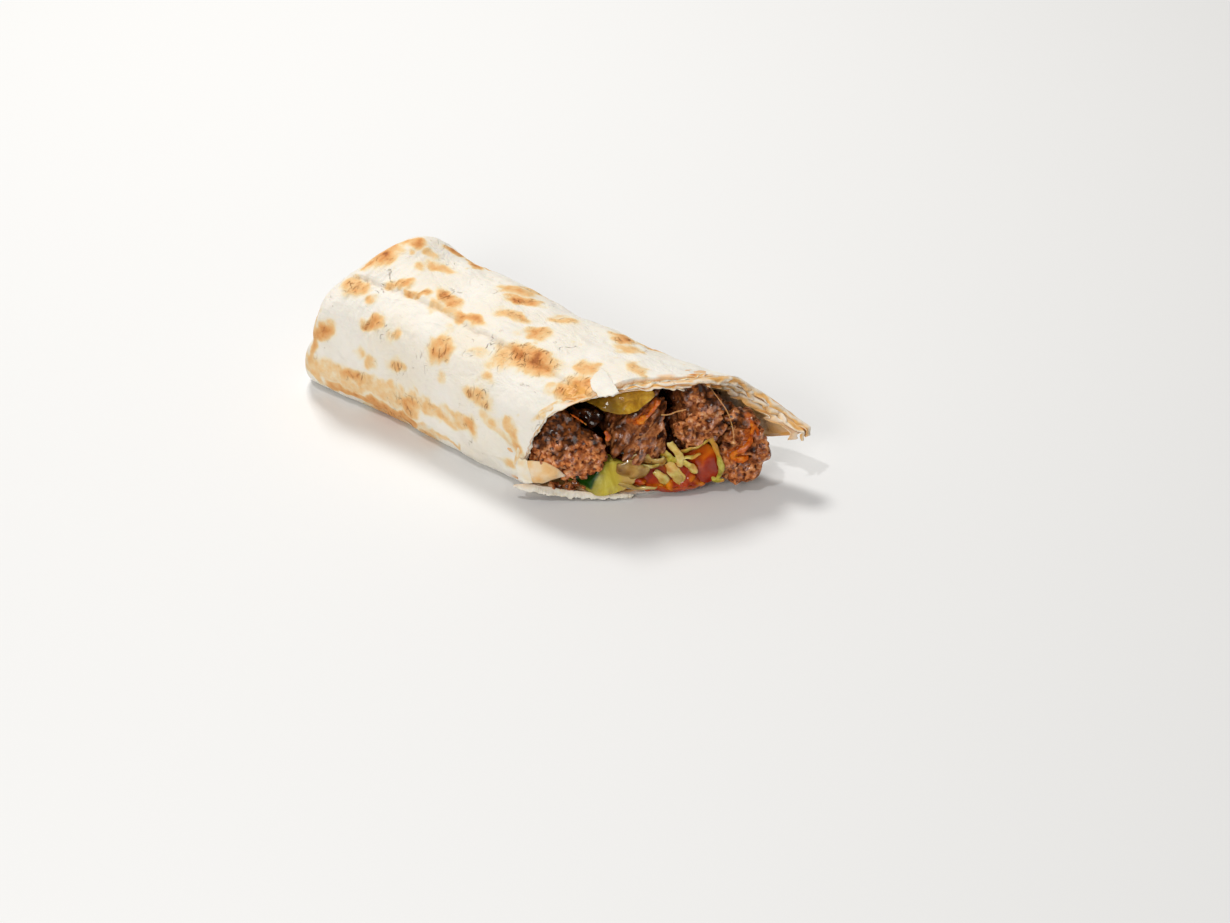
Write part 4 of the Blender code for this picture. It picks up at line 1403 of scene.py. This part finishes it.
def make_pulp(finish):
    """Tomato jelly that fills the bottom of the cut."""
    y, z, forward, radius = np.array(PULP).T
    parts = lumps(cut_place(y, z, forward), radius * 0.001, 51, 0.30, 0.30)
    points, normals, faces = remeshed(*join_parts(parts), PULP_VOXEL, smoothing=8)
    points = points + normals * (0.00022 * fractal(points, 0.0022, 2, 52))[:, None]
    pale = ease(0.1 + 1.3 * noise(points, 0.004, 53))
    return add_piece("tomato_pulp", points, faces, finish, {"pale": pale})


# ================================================================ leaves and strips
RIBBON_COLUMNS = 18
RIBBON_TAPER = 0.35
# Nicks in a ribbon's edges: share of its width, size m, what is added to its seed.
RIBBON_NICKS = ((0.24, 0.0042, 1), (0.10, 0.0016, 3))
# Ribbons: name, (y, z, forward) points in cm, width cm, thickness m, frill, curl, paleness, lean.
LEAVES = (
    ("lettuce_rib", ((2.92, 1.30, 0.20), (3.00, 1.12, 0.32), (3.12, 0.84, 0.36), (3.22, 0.46, 0.30)),
     0.34, 0.0008, 0.05, 0.09, 0.85, 0.15),
    ("cabbage_shred", ((2.62, 0.98, 0.16), (2.72, 0.84, 0.24), (2.82, 0.68, 0.26), (2.92, 0.48, 0.22)),
     0.26, 0.0010, 0.05, 0.10, 0.80, 0.15),
    ("lettuce_chunk", ((3.10, 1.08, 0.24), (3.22, 0.90, 0.32), (3.30, 0.62, 0.30), (3.34, 0.42, 0.22)),
     0.30, 0.0008, 0.06, -0.06, 0.60, 0.25),
    ("lettuce_strip_pale", ((3.00, 2.18, 0.24), (3.10, 1.87, 0.30), (3.22, 1.52, 0.32), (3.25, 1.18, 0.26)),
     0.30, 0.0009, 0.03, 0.06, 0.95, 0.15),
    ("lettuce_leaf_top", ((3.30, 1.62, 0.04), (3.52, 1.78, 0.10), (3.74, 1.88, 0.12), (3.94, 1.96, 0.10),
                          (4.16, 2.16, 0.02)),
     0.30, 0.0006, 0.10, 0.05, 0.35, 0.40),
    ("lettuce_leaf_fold", ((3.30, 1.46, 0.12), (3.46, 1.56, 0.18), (3.66, 1.60, 0.18), (3.84, 1.66, 0.12)),
     0.24, 0.0006, 0.09, -0.05, 0.60, 0.50),
    ("lettuce_leaf_shade", ((2.84, 1.70, 0.02), (3.00, 1.52, 0.08), (3.22, 1.32, 0.10), (3.40, 1.22, 0.06)),
     0.42, 0.0008, 0.06, 0.05, 0.15, 0.35),
    ("lettuce_bit_yellow", ((3.28, 1.42, 0.26), (3.42, 1.28, 0.32), (3.56, 1.06, 0.30), (3.60, 0.92, 0.24)),
     0.30, 0.0010, 0.06, 0.05, 0.72, 0.30),
    ("lettuce_strip_green", ((4.10, 2.20, 0.12), (4.18, 1.86, 0.20), (4.26, 1.50, 0.25), (4.33, 1.14, 0.25),
                             (4.34, 0.84, 0.20), (4.28, 0.58, 0.14)),
     0.20, 0.0008, 0.05, 0.05, 0.22, 0.35),
    ("lettuce_tip", ((4.08, 0.66, 0.08), (4.20, 0.54, 0.16), (4.34, 0.50, 0.18), (4.48, 0.54, 0.14)),
     0.20, 0.0006, 0.08, 0.03, 0.35, 0.25),
)
ONION_STRIPS = (
    ("onion_strip", ((1.98, 1.50, 0.10), (2.20, 1.58, 0.16), (2.50, 1.44, 0.22), (2.82, 1.36, 0.18),
                     (3.02, 1.44, 0.05)),
     0.50, 0.0010, 0.06, 0.08, 0.25, 0.35),
    ("onion_jelly", ((1.62, 1.20, 0.20), (1.88, 1.16, 0.28), (2.14, 1.04, 0.30), (2.36, 0.84, 0.22)),
     0.66, 0.0014, 0.06, 0.08, 0.15, 0.10),
    ("onion_sliver", ((2.30, 1.28, 0.10), (2.52, 1.16, 0.16), (2.76, 1.20, 0.14)),
     0.36, 0.0008, 0.06, 0.08, 0.60, 0.60),
    ("onion_floor", ((1.60, 0.62, 0.26), (1.95, 0.46, 0.30), (2.30, 0.42, 0.28), (2.60, 0.40, 0.24)),
     0.40, 0.0012, 0.06, 0.08, 0.30, 0.75),
)
# The CAD nodes that ribbons stand for.
RIBBON_NODES = {
    "lettuce_rib": ("lettuce",),
    "lettuce_strip_green": ("lettuce_strip",),
    "onion_strip": ("onion",),
}


def add_ribbon(finish, slot, name, path, count, width, thickness, frill, curl, pale, lean, waves, seed):
    """A thin sheet along a path of (y, z, forward) in cm; lean 0 shows its face, lean 1 its edge.

    frill is the height of its ruffles and waves their size, and curl bends its edges, all in cm.
    """
    centre = cut_place(*smooth_line(path, count).T)
    tangent = unit(np.gradient(centre, axis=0))
    flat_side = unit(np.cross(tangent, CUT_NORMAL))
    side = unit((1.0 - lean) * flat_side + lean * BACK_AND_UP)
    normal = unit(np.cross(tangent, side))
    s = np.linspace(0.0, 1.0, count)
    ends = np.sqrt(np.clip(1.0 - np.abs(2.0 * s - 1.0) ** 3, 0.0, 1.0))
    half = 0.5 * width * CM * (RIBBON_TAPER + (1.0 - RIBBON_TAPER) * ends)
    v = np.linspace(-1.0, 1.0, RIBBON_COLUMNS)
    grid = centre[:, None, :] + side[:, None, :] * (v[None, :] * half[:, None])[..., None]
    ruffle = frill * CM * noise(grid, waves * CM, seed) * (0.4 + np.abs(v))[None, :]
    bend = curl * CM * (v**2)[None, :]
    nicks = sum(share * noise(grid, size, seed + more) for share, size, more in RIBBON_NICKS)
    uneven = width * CM * nicks * v[None, :]
    grid = grid + normal[:, None, :] * (ruffle + bend)[..., None] + side[:, None, :] * uneven[..., None]
    edge = np.sqrt(np.clip(1.0 - np.abs(v) ** 4, 0.08, 1.0))[None, :] * np.maximum(ends, 0.25)[:, None]
    points, faces = thick_sheet(grid, thickness * edge)
    shade = pale + 0.35 * np.abs(v)[None, :] - 0.12 + 0.25 * noise(grid, 0.004, seed + 2)
    attributes = {"pale": np.tile(np.clip(shade, 0.0, 1.0).ravel(), 2)}
    return add_piece(name, points, fix_normals(points, faces), finish, attributes,
                     RIBBON_NODES.get(name, ()))


def make_leaves(finish):
    for index, (name, path, *shape) in enumerate(LEAVES):
        add_ribbon(finish, "lettuce", name, path, 44, *shape, waves=0.30, seed=70 + index)


def make_onion(finish):
    for index, (name, path, *shape) in enumerate(ONION_STRIPS):
        add_ribbon(finish, "onion", name, path, 40, *shape, waves=0.5, seed=90 + index)


# ================================================================ sauce
SAUCE_VOXEL = 0.0003
# Lines of sauce and grated carrot: (y, z, forward) points in cm, radius mm at the start and at the end.
SAUCE_LINES = (
    (((5.16, 2.92, 0.06), (5.22, 2.60, 0.10), (5.18, 2.28, 0.12), (5.14, 2.02, 0.14), (4.98, 1.76, 0.16),
      (4.76, 1.62, 0.16), (4.68, 1.44, 0.14), (4.86, 1.32, 0.16), (5.06, 1.40, 0.14)), 0.9, 1.1),
    (((5.20, 2.70, 0.06), (5.36, 2.48, 0.06), (5.42, 2.22, 0.02)), 0.7, 0.5),
    (((2.10, 2.98, 0.06), (2.36, 3.10, 0.10), (2.58, 3.30, 0.08), (2.80, 3.70, 0.02)), 0.6, 0.8),
    (((2.20, 2.96, 0.12), (2.36, 2.96, 0.12)), 0.9, 0.7),
    (((1.44, 2.60, 0.04), (1.48, 2.44, 0.08), (1.44, 2.34, 0.10)), 0.8, 1.0),
    (((0.55, 3.36, -0.04), (0.78, 3.12, -0.02), (0.95, 2.92, 0.00)), 0.3, 0.4),
    (((3.80, 2.62, 0.00), (4.05, 2.68, 0.02), (4.30, 2.84, 0.00)), 0.4, 0.3),
    (((2.66, 2.02, 0.00), (2.84, 1.86, 0.00)), 0.4, 0.4),
)
# The thin string that hangs from the top lip, and the one from the middle piece of beef to the upper one.
HANGING_STRING = ((4.49, 3.92, -0.66), (4.32, 3.75, 0.10), (4.52, 3.27, 0.14), (4.64, 2.72, 0.17),
                  (4.68, 2.26, 0.19), (4.68, 2.03, 0.20))
CROSSING_STRING = ((2.84, 3.22, 0.10), (3.02, 3.24, 0.14), (3.24, 3.32, 0.10), (3.52, 3.36, 0.04))
CROSSING_RADIUS = 0.00025


def make_sauce(finish):
    """Orange sauce and grated carrot that lie on the beef."""
    parts = []
    for index, (path, first, last) in enumerate(SAUCE_LINES):
        centres = cut_place(*smooth_line(path, 12 + 8 * len(path)).T)
        share = np.linspace(0.0, 1.0, len(centres))
        uneven = 1.0 + 0.55 * noise(centres, 0.0022, 110 + index)
        radii = 0.001 * (first + (last - first) * share) * uneven
        parts += lumps(centres, radii, 120 + index, 0.35, 0.3)
    points, normals, faces = remeshed(*join_parts(parts), SAUCE_VOXEL, smoothing=6)
    points = points + normals * (0.00010 * fractal(points, 0.0014, 2, 130))[:, None]
    return add_piece("orange_sauce", points, faces, finish, {"pale": np.zeros(len(points))})


def string_shell(path, radii, sides):
    """A thin round string along a path of (y, z, forward) in cm, with a radius for each of its points."""
    centres = cut_place(*smooth_line(path, len(radii)).T)
    tangent = unit(np.gradient(centres, axis=0))
    side = unit(np.cross(tangent, CUT_NORMAL))
    other = np.cross(tangent, side)
    turns = np.linspace(0.0, 2.0 * math.pi, sides, endpoint=False)[None, :, None]
    around = np.cos(turns) * side[:, None, :] + np.sin(turns) * other[:, None, :]
    points, faces = tube_shell(centres[:, None, :] + radii[:, None, None] * around)
    return points, fix_normals(points, faces)


def make_string(finish):
    """The string of sauce that hangs from the top lip, with a drop at its end, and the one that crosses."""
    share = np.linspace(0.0, 1.0, 60)
    radii = 0.00012 + 0.00008 * np.abs(np.cos(9.0 * share)) + 0.0008 * ease((share - 0.86) / 0.1)
    hanging = string_shell(HANGING_STRING, radii + 0.0006 * ease((0.06 - share) / 0.06), 12)
    crossing = string_shell(CROSSING_STRING, np.full(30, CROSSING_RADIUS), 10)
    points, faces = join_parts([hanging, crossing])
    return add_piece("sauce_string", points, faces, finish, {"pale": np.full(len(points), 0.6)})


# ================================================================ materials
class Looks:
    """A material that is being made, with short names for the shader nodes that it uses."""

    def __init__(self, name):
        self.material = bpy.data.materials.new(name)
        self.material.use_nodes = True
        self.tree = self.material.node_tree

    def feed(self, socket, value):
        """Puts a number, a colour or another node's output into a socket."""
        if isinstance(value, bpy.types.NodeSocket):
            self.tree.links.new(value, socket)
        elif socket.type == "RGBA":
            socket.default_value = (*value, 1.0)
        else:
            socket.default_value = value

    def fill(self, node, values):
        """Puts a value into each of the node's sockets that are named."""
        for name, value in values.items():
            self.feed(node.inputs[name], value)
        return node

    def shade(self, **inputs):
        """Sets the inputs of the surface shader, with _ for the spaces in their names, and ends the work."""
        values = {name.replace("_", " "): value for name, value in inputs.items()}
        self.fill(self.tree.nodes["Principled BSDF"], values)
        return self.material

    def attribute(self, label):
        node = self.tree.nodes.new("ShaderNodeAttribute")
        node.attribute_name = label
        return node.outputs["Fac"]

    def noise(self, scale, detail, roughness, distortion=0.0, stretch=(1.0, 1.0, 1.0)):
        """Noise from 0 to 1 with so many features in a metre; stretch scales it along X, Y and Z."""
        place = self.tree.nodes.new("ShaderNodeTexCoord").outputs["Object"]
        mapping = self.tree.nodes.new("ShaderNodeMapping")
        mapping.inputs["Scale"].default_value = stretch
        self.feed(mapping.inputs["Vector"], place)
        node = self.tree.nodes.new("ShaderNodeTexNoise")
        values = {"Vector": mapping.outputs["Vector"], "Scale": scale, "Detail": detail,
                  "Roughness": roughness, "Distortion": distortion}
        return self.fill(node, values).outputs["Fac"]

    def lines(self, scale, width, distortion, stretch):
        """1 on thin winding lines, 0 between them."""
        away = self.math("ABSOLUTE", self.sway(self.noise(scale, 1.5, 0.5, distortion, stretch), 2.0))
        return self.span(away, 0.0, width, 1.0, 0.0)

    def math(self, operation, *values, clamp=False):
        node = self.tree.nodes.new("ShaderNodeMath")
        node.operation = operation
        node.use_clamp = clamp
        for socket, value in zip(node.inputs, values):
            self.feed(socket, value)
        return node.outputs[0]

    def times(self, first, second):
        return self.math("MULTIPLY", first, second)

    def plus(self, first, second):
        return self.math("ADD", first, second, clamp=True)

    def sway(self, value, strength):
        """The value, which is noise round 0.5, as an amount round 0."""
        return self.math("MULTIPLY_ADD", value, strength, -0.5 * strength)

    def span(self, value, low, high, to_low=0.0, to_high=1.0):
        """The value from low to high as an amount from to_low to to_high."""
        node = self.tree.nodes.new("ShaderNodeMapRange")
        values = {"Value": value, "From Min": low, "From Max": high, "To Min": to_low, "To Max": to_high}
        return self.fill(node, values).outputs["Result"]

    def ramp(self, value, stops):
        """A colour ramp through (position, linear colour) stops."""
        node = self.tree.nodes.new("ShaderNodeValToRGB")
        elements = node.color_ramp.elements
        while len(elements) < len(stops):
            elements.new(0.5)
        for element, (position, colour) in zip(elements, stops):
            element.position = position
            element.color = (*colour, 1.0)
        self.feed(node.inputs["Fac"], value)
        return node.outputs["Color"]

    def mix(self, amount, first, second, blend="MIX"):
        node = self.tree.nodes.new("ShaderNodeMix")
        node.data_type = "RGBA"
        node.blend_type = blend
        for name, value in (("Factor_Float", amount), ("A_Color", first), ("B_Color", second)):
            self.feed(next(s for s in node.inputs if s.identifier == name), value)
        return next(s for s in node.outputs if s.identifier == "Result_Color")

    def darken(self, colour, amount, tint):
        """The colour multiplied by the tint, as far as the amount says."""
        return self.mix(amount, colour, tint, "MULTIPLY")

    def bump(self, height, strength, distance, normal=None):
        node = self.tree.nodes.new("ShaderNodeBump")
        values = {"Height": height, "Strength": strength, "Distance": distance}
        if normal is not None:
            values["Normal"] = normal
        return self.fill(node, values).outputs["Normal"]


FLOUR_WHITE = (0.86, 0.815, 0.735)
DOUGH_CREAM = (0.83, 0.755, 0.625)
TOAST_STOPS = (
    (0.00, (0.85, 0.79, 0.68)),
    (0.22, (0.85, 0.71, 0.47)),
    (0.46, (0.83, 0.54, 0.255)),
    (0.72, (0.77, 0.385, 0.135)),
    (0.90, (0.63, 0.255, 0.070)),
    (1.00, (0.44, 0.150, 0.038)),
)
# Features in a metre of the textures on the bread.
CLOUDS = 45.0
BLOTCHES = 230.0
SPECKLES = 900.0
BLISTER_LINES = 230.0
BLISTER_PATCHES = 330.0
CRACK_LINES = 150.0
CRACK_PATCHES = 95.0
CRACK_BREAKS = 420.0
SMUDGES = 75.0
CHAR_SPECKS = 420.0
CHAR_PATCHES = 60.0
DIMPLES = 260.0
SOFT_WRINKLES = 110.0
FLOUR_GRAIN = 1000.0
SOAKED_BREAD = (0.84, 0.42, 0.11)
# Tints that multiply the colour of the bread; the crack and crease tints are painted shade.
RIDGE_BROWN = (0.46, 0.23, 0.09)
CRACK_GREY = (0.50, 0.43, 0.36)
SMUDGE_GREY = (0.80, 0.78, 0.76)
CHAR_SPECK = (0.42, 0.36, 0.28)
CREASE_BROWN = (0.52, 0.33, 0.17)


def bread_material():
    """White dough with toasted spots, blister ridges, specks of char, and juice near the cut."""
    looks = Looks("flatbread_looks")
    cloud = looks.noise(CLOUDS, 3.0, 0.5)
    base = looks.mix(looks.span(cloud, 0.42, 0.75), FLOUR_WHITE, DOUGH_CREAM)
    # The toast and stain attributes are toasting and juice, and on the pleated sheets also painted shade in
    # the folds.
    toast = looks.attribute("toast")
    coarse = looks.sway(looks.noise(BLOTCHES, 3.0, 0.55), 0.50)
    uneven = looks.math("ADD", coarse, looks.sway(looks.noise(SPECKLES, 3.0, 0.6), 0.26))
    amount = looks.plus(toast, looks.times(uneven, looks.span(toast, 0.02, 0.45)))
    colour = looks.mix(looks.span(amount, 0.0, 0.34), base, looks.ramp(amount, TOAST_STOPS))
    ridge = looks.lines(BLISTER_LINES, 0.10, 0.8, (1.6, 0.8, 0.8))
    ridge = looks.times(ridge, looks.span(looks.noise(BLISTER_PATCHES, 1.0, 0.5), 0.46, 0.60))
    ridge = looks.times(ridge, looks.span(looks.attribute("ridged"), 0.15, 0.55))
    colour = looks.darken(colour, looks.times(ridge, 0.62), RIDGE_BROWN)
    # Painted shade: thin grey lines in patches stand for the shade in fine wrinkles; they also feed the bump.
    cracks = looks.times(looks.lines(CRACK_LINES, 0.030, 0.5, (1.3, 1.0, 1.0)),
                         looks.span(looks.noise(CRACK_PATCHES, 2.0, 0.5), 0.54, 0.66))
    cracks = looks.times(cracks, looks.span(looks.noise(CRACK_BREAKS, 1.0, 0.5), 0.48, 0.60))
    colour = looks.darken(colour, looks.times(cracks, 0.55), CRACK_GREY)
    # The bread is darker grey in soft patches at random.
    smudge = looks.span(looks.noise(SMUDGES, 3.0, 0.6, 0.8), 0.56, 0.76)
    colour = looks.darken(colour, looks.times(smudge, 0.30), SMUDGE_GREY)
    specks = looks.times(looks.span(looks.noise(CHAR_SPECKS, 2.0, 0.6, 0.4, (0.7, 1.6, 1.6)), 0.70, 0.76),
                         looks.span(looks.noise(CHAR_PATCHES, 2.0, 0.5), 0.46, 0.60))
    colour = looks.darken(colour, looks.times(specks, 0.55), CHAR_SPECK)
    # Painted shade in the seam's groove.
    crease = looks.attribute("crease")
    colour = looks.darken(colour, looks.times(crease, 0.5), CREASE_BROWN)
    soaked = looks.span(looks.math("ADD", looks.attribute("stain"), looks.times(coarse, 0.65)), 0.15, 0.95)
    colour = looks.mix(looks.times(soaked, 0.9), colour, SOAKED_BREAD)
    dimples = looks.noise(DIMPLES, 3.0, 0.5)
    wrinkles = looks.noise(SOFT_WRINKLES, 4.0, 0.6, 0.6, (0.8, 1.3, 1.3))
    normal = looks.bump(wrinkles, 0.70, 0.0018)
    normal = looks.bump(dimples, 0.45, 0.0005, normal)
    normal = looks.bump(looks.math("SUBTRACT", 0.0, looks.plus(ridge, cracks)), 0.9, 0.0005, normal)
    normal = looks.bump(looks.noise(FLOUR_GRAIN, 4.0, 0.65), 0.30, 0.00018, normal)
    return looks.shade(
        Base_Color=colour, Roughness=looks.span(soaked, 0.0, 1.0, 0.74, 0.38), Normal=normal,
        Subsurface_Weight=0.10, Subsurface_Radius=(1.0, 0.55, 0.28), Subsurface_Scale=0.0016,
        Specular_IOR_Level=0.30)


CRUST_STOPS = (
    (0.35, (0.016, 0.0046, 0.0015)), (0.58, (0.064, 0.017, 0.004)), (0.80, (0.18, 0.050, 0.010)),
    (1.00, (0.36, 0.110, 0.022)),
)
INSIDE_STOPS = (
    (0.35, (0.130, 0.030, 0.008)), (0.55, (0.430, 0.117, 0.031)), (0.78, (0.740, 0.268, 0.084)),
    (1.00, (0.94, 0.54, 0.27)),
)
BEEF_SAUCE_STOPS = ((0.30, (0.22, 0.036, 0.006)), (0.55, (0.46, 0.105, 0.014)), (0.75, (0.68, 0.24, 0.045)))
PORE_BROWN = (0.15, 0.08, 0.055)
# Features in a metre of the textures on the beef.
BEEF_GRAIN = 760.0
BEEF_PATCHES = 210.0
BURNT_PATCHES = 110.0
WET_PATCHES = 420.0
BEEF_FINE_GRAIN = 2300.0


def beef_material():
    """Ground beef: dark glossy crust, paler crumbly inside, painted shade in its pores, hollows and gaps, and
    orange sauce where it lies.
    """
    looks = Looks("beef_looks")
    fine = looks.noise(BEEF_GRAIN, 4.0, 0.62)
    patch = looks.noise(BEEF_PATCHES, 3.0, 0.55)
    grain = looks.plus(looks.times(looks.attribute("crumb"), 0.5), looks.times(fine, 0.80))
    burnt = looks.sway(looks.noise(BURNT_PATCHES, 2.0, 0.5), 1.1)
    amount = looks.plus(looks.attribute("inside"), looks.math("ADD", looks.sway(patch, 1.1), burnt))
    colour = looks.mix(amount, looks.ramp(grain, CRUST_STOPS), looks.ramp(grain, INSIDE_STOPS))
    # Painted shade in the pores, hollows and gaps.
    deep = looks.attribute("deep")
    colour = looks.darken(colour, looks.times(deep, 0.95), PORE_BROWN)
    sauce = looks.attribute("sauce")
    sauce = looks.plus(sauce, looks.times(looks.sway(patch, 1.6), looks.span(sauce, 0.02, 0.3)))
    colour = looks.mix(looks.span(sauce, 0.30, 0.75), colour, looks.ramp(fine, BEEF_SAUCE_STOPS))
    wet = looks.span(looks.noise(WET_PATCHES, 2.0, 0.5), 0.50, 0.57)
    normal = looks.bump(fine, 0.60, 0.0005)
    normal = looks.bump(looks.noise(BEEF_FINE_GRAIN, 3.0, 0.6), 0.35, 0.00014, normal)
    return looks.shade(
        Base_Color=colour, Roughness=looks.span(wet, 0.0, 1.0, 0.60, 0.30), Normal=normal, Coat_Normal=normal,
        Specular_IOR_Level=0.10, Coat_Weight=looks.times(wet, 0.95), Coat_Roughness=0.055, Coat_IOR=1.9,
        Subsurface_Weight=0.06, Subsurface_Radius=(1.0, 0.30, 0.18), Subsurface_Scale=0.0010)


def wet_material(name, colour, roughness=0.20, subsurface=0.30, radius=(1.0, 0.6, 0.2), bump=0.30,
                 gloss=0.8):
    """A wet, slightly see-through vegetable; colour is a function of the looks that gives its colour."""
    looks = Looks(name)
    normal = looks.bump(looks.noise(420.0, 3.0, 0.5), bump, 0.0005)
    normal = looks.bump(looks.noise(1500.0, 2.0, 0.5), 0.15, 0.00015, normal)
    film = looks.span(looks.noise(170.0, 2.0, 0.5), 0.44, 0.58)
    return looks.shade(
        Base_Color=colour(looks), Roughness=roughness, Normal=normal, Coat_Normal=normal,
        Specular_IOR_Level=0.12, Coat_Weight=looks.times(film, gloss), Coat_Roughness=0.04, Coat_IOR=1.7,
        Subsurface_Weight=subsurface, Subsurface_Radius=radius, Subsurface_Scale=0.0025)


def pickle_colour(looks):
    flesh = looks.ramp(looks.noise(230.0, 4.0, 0.62, 0.6), (
        (0.30, (0.26, 0.110, 0.008)), (0.50, (0.52, 0.275, 0.020)), (0.66, (0.68, 0.45, 0.060)),
        (0.80, (0.80, 0.64, 0.18))))
    return looks.mix(looks.attribute("skin"), flesh, (0.17, 0.090, 0.006))


def cucumber_colour(looks):
    flesh = looks.ramp(looks.noise(170.0, 3.0, 0.6, 0.8, (1.0, 1.4, 0.5)), (
        (0.30, (0.44, 0.31, 0.026)), (0.52, (0.58, 0.47, 0.058)), (0.75, (0.80, 0.73, 0.19))))
    seeds = looks.mix(looks.attribute("seeds"), flesh, (0.58, 0.36, 0.075))
    return looks.mix(looks.attribute("skin"), seeds, (0.010, 0.055, 0.003))


def tomato_colour(looks):
    flesh = looks.ramp(looks.noise(150.0, 3.0, 0.5, 0.5), (
        (0.30, (0.25, 0.012, 0.001)), (0.55, (0.43, 0.038, 0.001)), (0.80, (0.68, 0.15, 0.004))))
    return looks.mix(looks.attribute("pale"), flesh, (0.72, 0.22, 0.008))


def sauce_colour(looks):
    orange = looks.ramp(looks.noise(360.0, 3.0, 0.6), (
        (0.30, (0.24, 0.030, 0.002)), (0.52, (0.58, 0.115, 0.006)), (0.75, (0.82, 0.30, 0.030))))
    return looks.mix(looks.attribute("pale"), orange, (0.72, 0.42, 0.17))


def lettuce_colour(looks):
    streaks = looks.noise(260.0, 4.0, 0.6, 1.2)
    pale = looks.ramp(streaks, (
        (0.30, (0.56, 0.33, 0.050)), (0.52, (0.78, 0.56, 0.16)), (0.75, (0.90, 0.76, 0.38))))
    green = looks.ramp(streaks, (
        (0.30, (0.20, 0.17, 0.010)), (0.52, (0.42, 0.38, 0.028)), (0.75, (0.70, 0.64, 0.10))))
    colour = looks.mix(looks.attribute("pale"), green, pale)
    tinge = looks.span(looks.noise(150.0, 2.0, 0.5), 0.48, 0.62)
    return looks.mix(looks.times(tinge, 0.75), colour, (0.62, 0.24, 0.035))


def onion_colour(looks):
    streaks = looks.noise(220.0, 3.0, 0.55, 0.8)
    brown = looks.ramp(streaks, (
        (0.30, (0.16, 0.065, 0.010)), (0.52, (0.34, 0.16, 0.030)), (0.76, (0.60, 0.36, 0.10))))
    jelly = looks.ramp(streaks, (
        (0.30, (0.36, 0.22, 0.035)), (0.52, (0.58, 0.46, 0.11)), (0.76, (0.82, 0.74, 0.34))))
    return looks.mix(looks.attribute("pale"), brown, jelly)


def floor_material():
    return Looks("floor_looks").shade(Base_Color=FLOOR_GREY, Roughness=0.9)


# ================================================================ stage
def add_camera():
    camera = bpy.data.cameras.new("camera")
    camera.sensor_width = SENSOR_WIDTH
    camera.lens = SENSOR_WIDTH * FOCAL_PIXELS / PHOTO_WIDTH
    camera.clip_start = 0.01
    camera.clip_end = 20.0
    placed = bpy.data.objects.new("camera", camera)
    placed.location = CAMERA_PLACE
    placed.rotation_euler = CAMERA_DIRECTION.to_track_quat("-Z", "Y").to_euler()
    bpy.context.scene.collection.objects.link(placed)
    bpy.context.scene.camera = placed


def add_area_light(name, place, target, size, power, colour):
    light = bpy.data.lights.new(name, "AREA")
    light.shape = "RECTANGLE"
    light.size, light.size_y = size
    light.energy = power
    light.color = colour
    placed = bpy.data.objects.new(name, light)
    placed.location = place
    placed.rotation_euler = (Vector(target) - Vector(place)).to_track_quat("-Z", "Y").to_euler()
    bpy.context.scene.collection.objects.link(placed)


def add_stage():
    mesh = bpy.data.meshes.new("floor")
    signs = ((-1, -1), (1, -1), (1, 1), (-1, 1))
    corners = [(FLOOR_HALF_SIZE * x, FLOOR_HALF_SIZE * y, 0.0) for x, y in signs]
    mesh.from_pydata(corners, [], [(0, 1, 2, 3)])
    mesh.materials.append(floor_material())
    floor = bpy.data.objects.new("floor", mesh)
    floor.location.z = -FLOOR_GAP
    bpy.context.scene.collection.objects.link(floor)
    world = bpy.data.worlds.new("studio")
    world.use_nodes = True
    background = world.node_tree.nodes["Background"]
    background.inputs["Color"].default_value = (*SKY_COLOUR, 1.0)
    background.inputs["Strength"].default_value = SKY_STRENGTH
    bpy.context.scene.world = world
    for name, place, size, power, colour in LIGHTS:
        add_area_light(name, place, LIGHTS_AIM, size, power, colour)
    bpy.context.scene.view_settings.view_transform = "Standard"


def main():
    """The bread first, then what it holds."""
    add_camera()
    add_stage()
    bread = bread_material()
    make_bread(bread)
    for index in range(len(INNER_LAYERS)):
        make_inner_layer(index, bread)
    for index in range(len(PLEATED_SHEETS)):
        make_pleated_sheet(index, bread)
    for index in range(len(LIP_LEAVES)):
        make_lip_leaf(index, bread)
    make_bread_bits(bread)
    make_lip_strip(bread)
    beef = beef_material()
    for name, looks in BEEF.items():
        make_beef(name, looks, beef)
    make_beef_rubble(beef)
    make_beef_scrap(beef)
    make_pickle(wet_material("pickle_looks", pickle_colour))
    make_cucumber(wet_material("cucumber_looks", cucumber_colour))
    tomato = wet_material("tomato_looks", tomato_colour, radius=(1.0, 0.2, 0.05), gloss=0.55)
    make_tomatoes(tomato)
    make_pulp(tomato)
    make_leaves(wet_material("lettuce_looks", lettuce_colour, roughness=0.28))
    make_onion(wet_material("onion_looks", onion_colour, subsurface=0.5))
    sauce = wet_material("sauce_looks", sauce_colour, radius=(1.0, 0.3, 0.05), bump=0.5)
    make_sauce(sauce)
    make_string(sauce)


main()
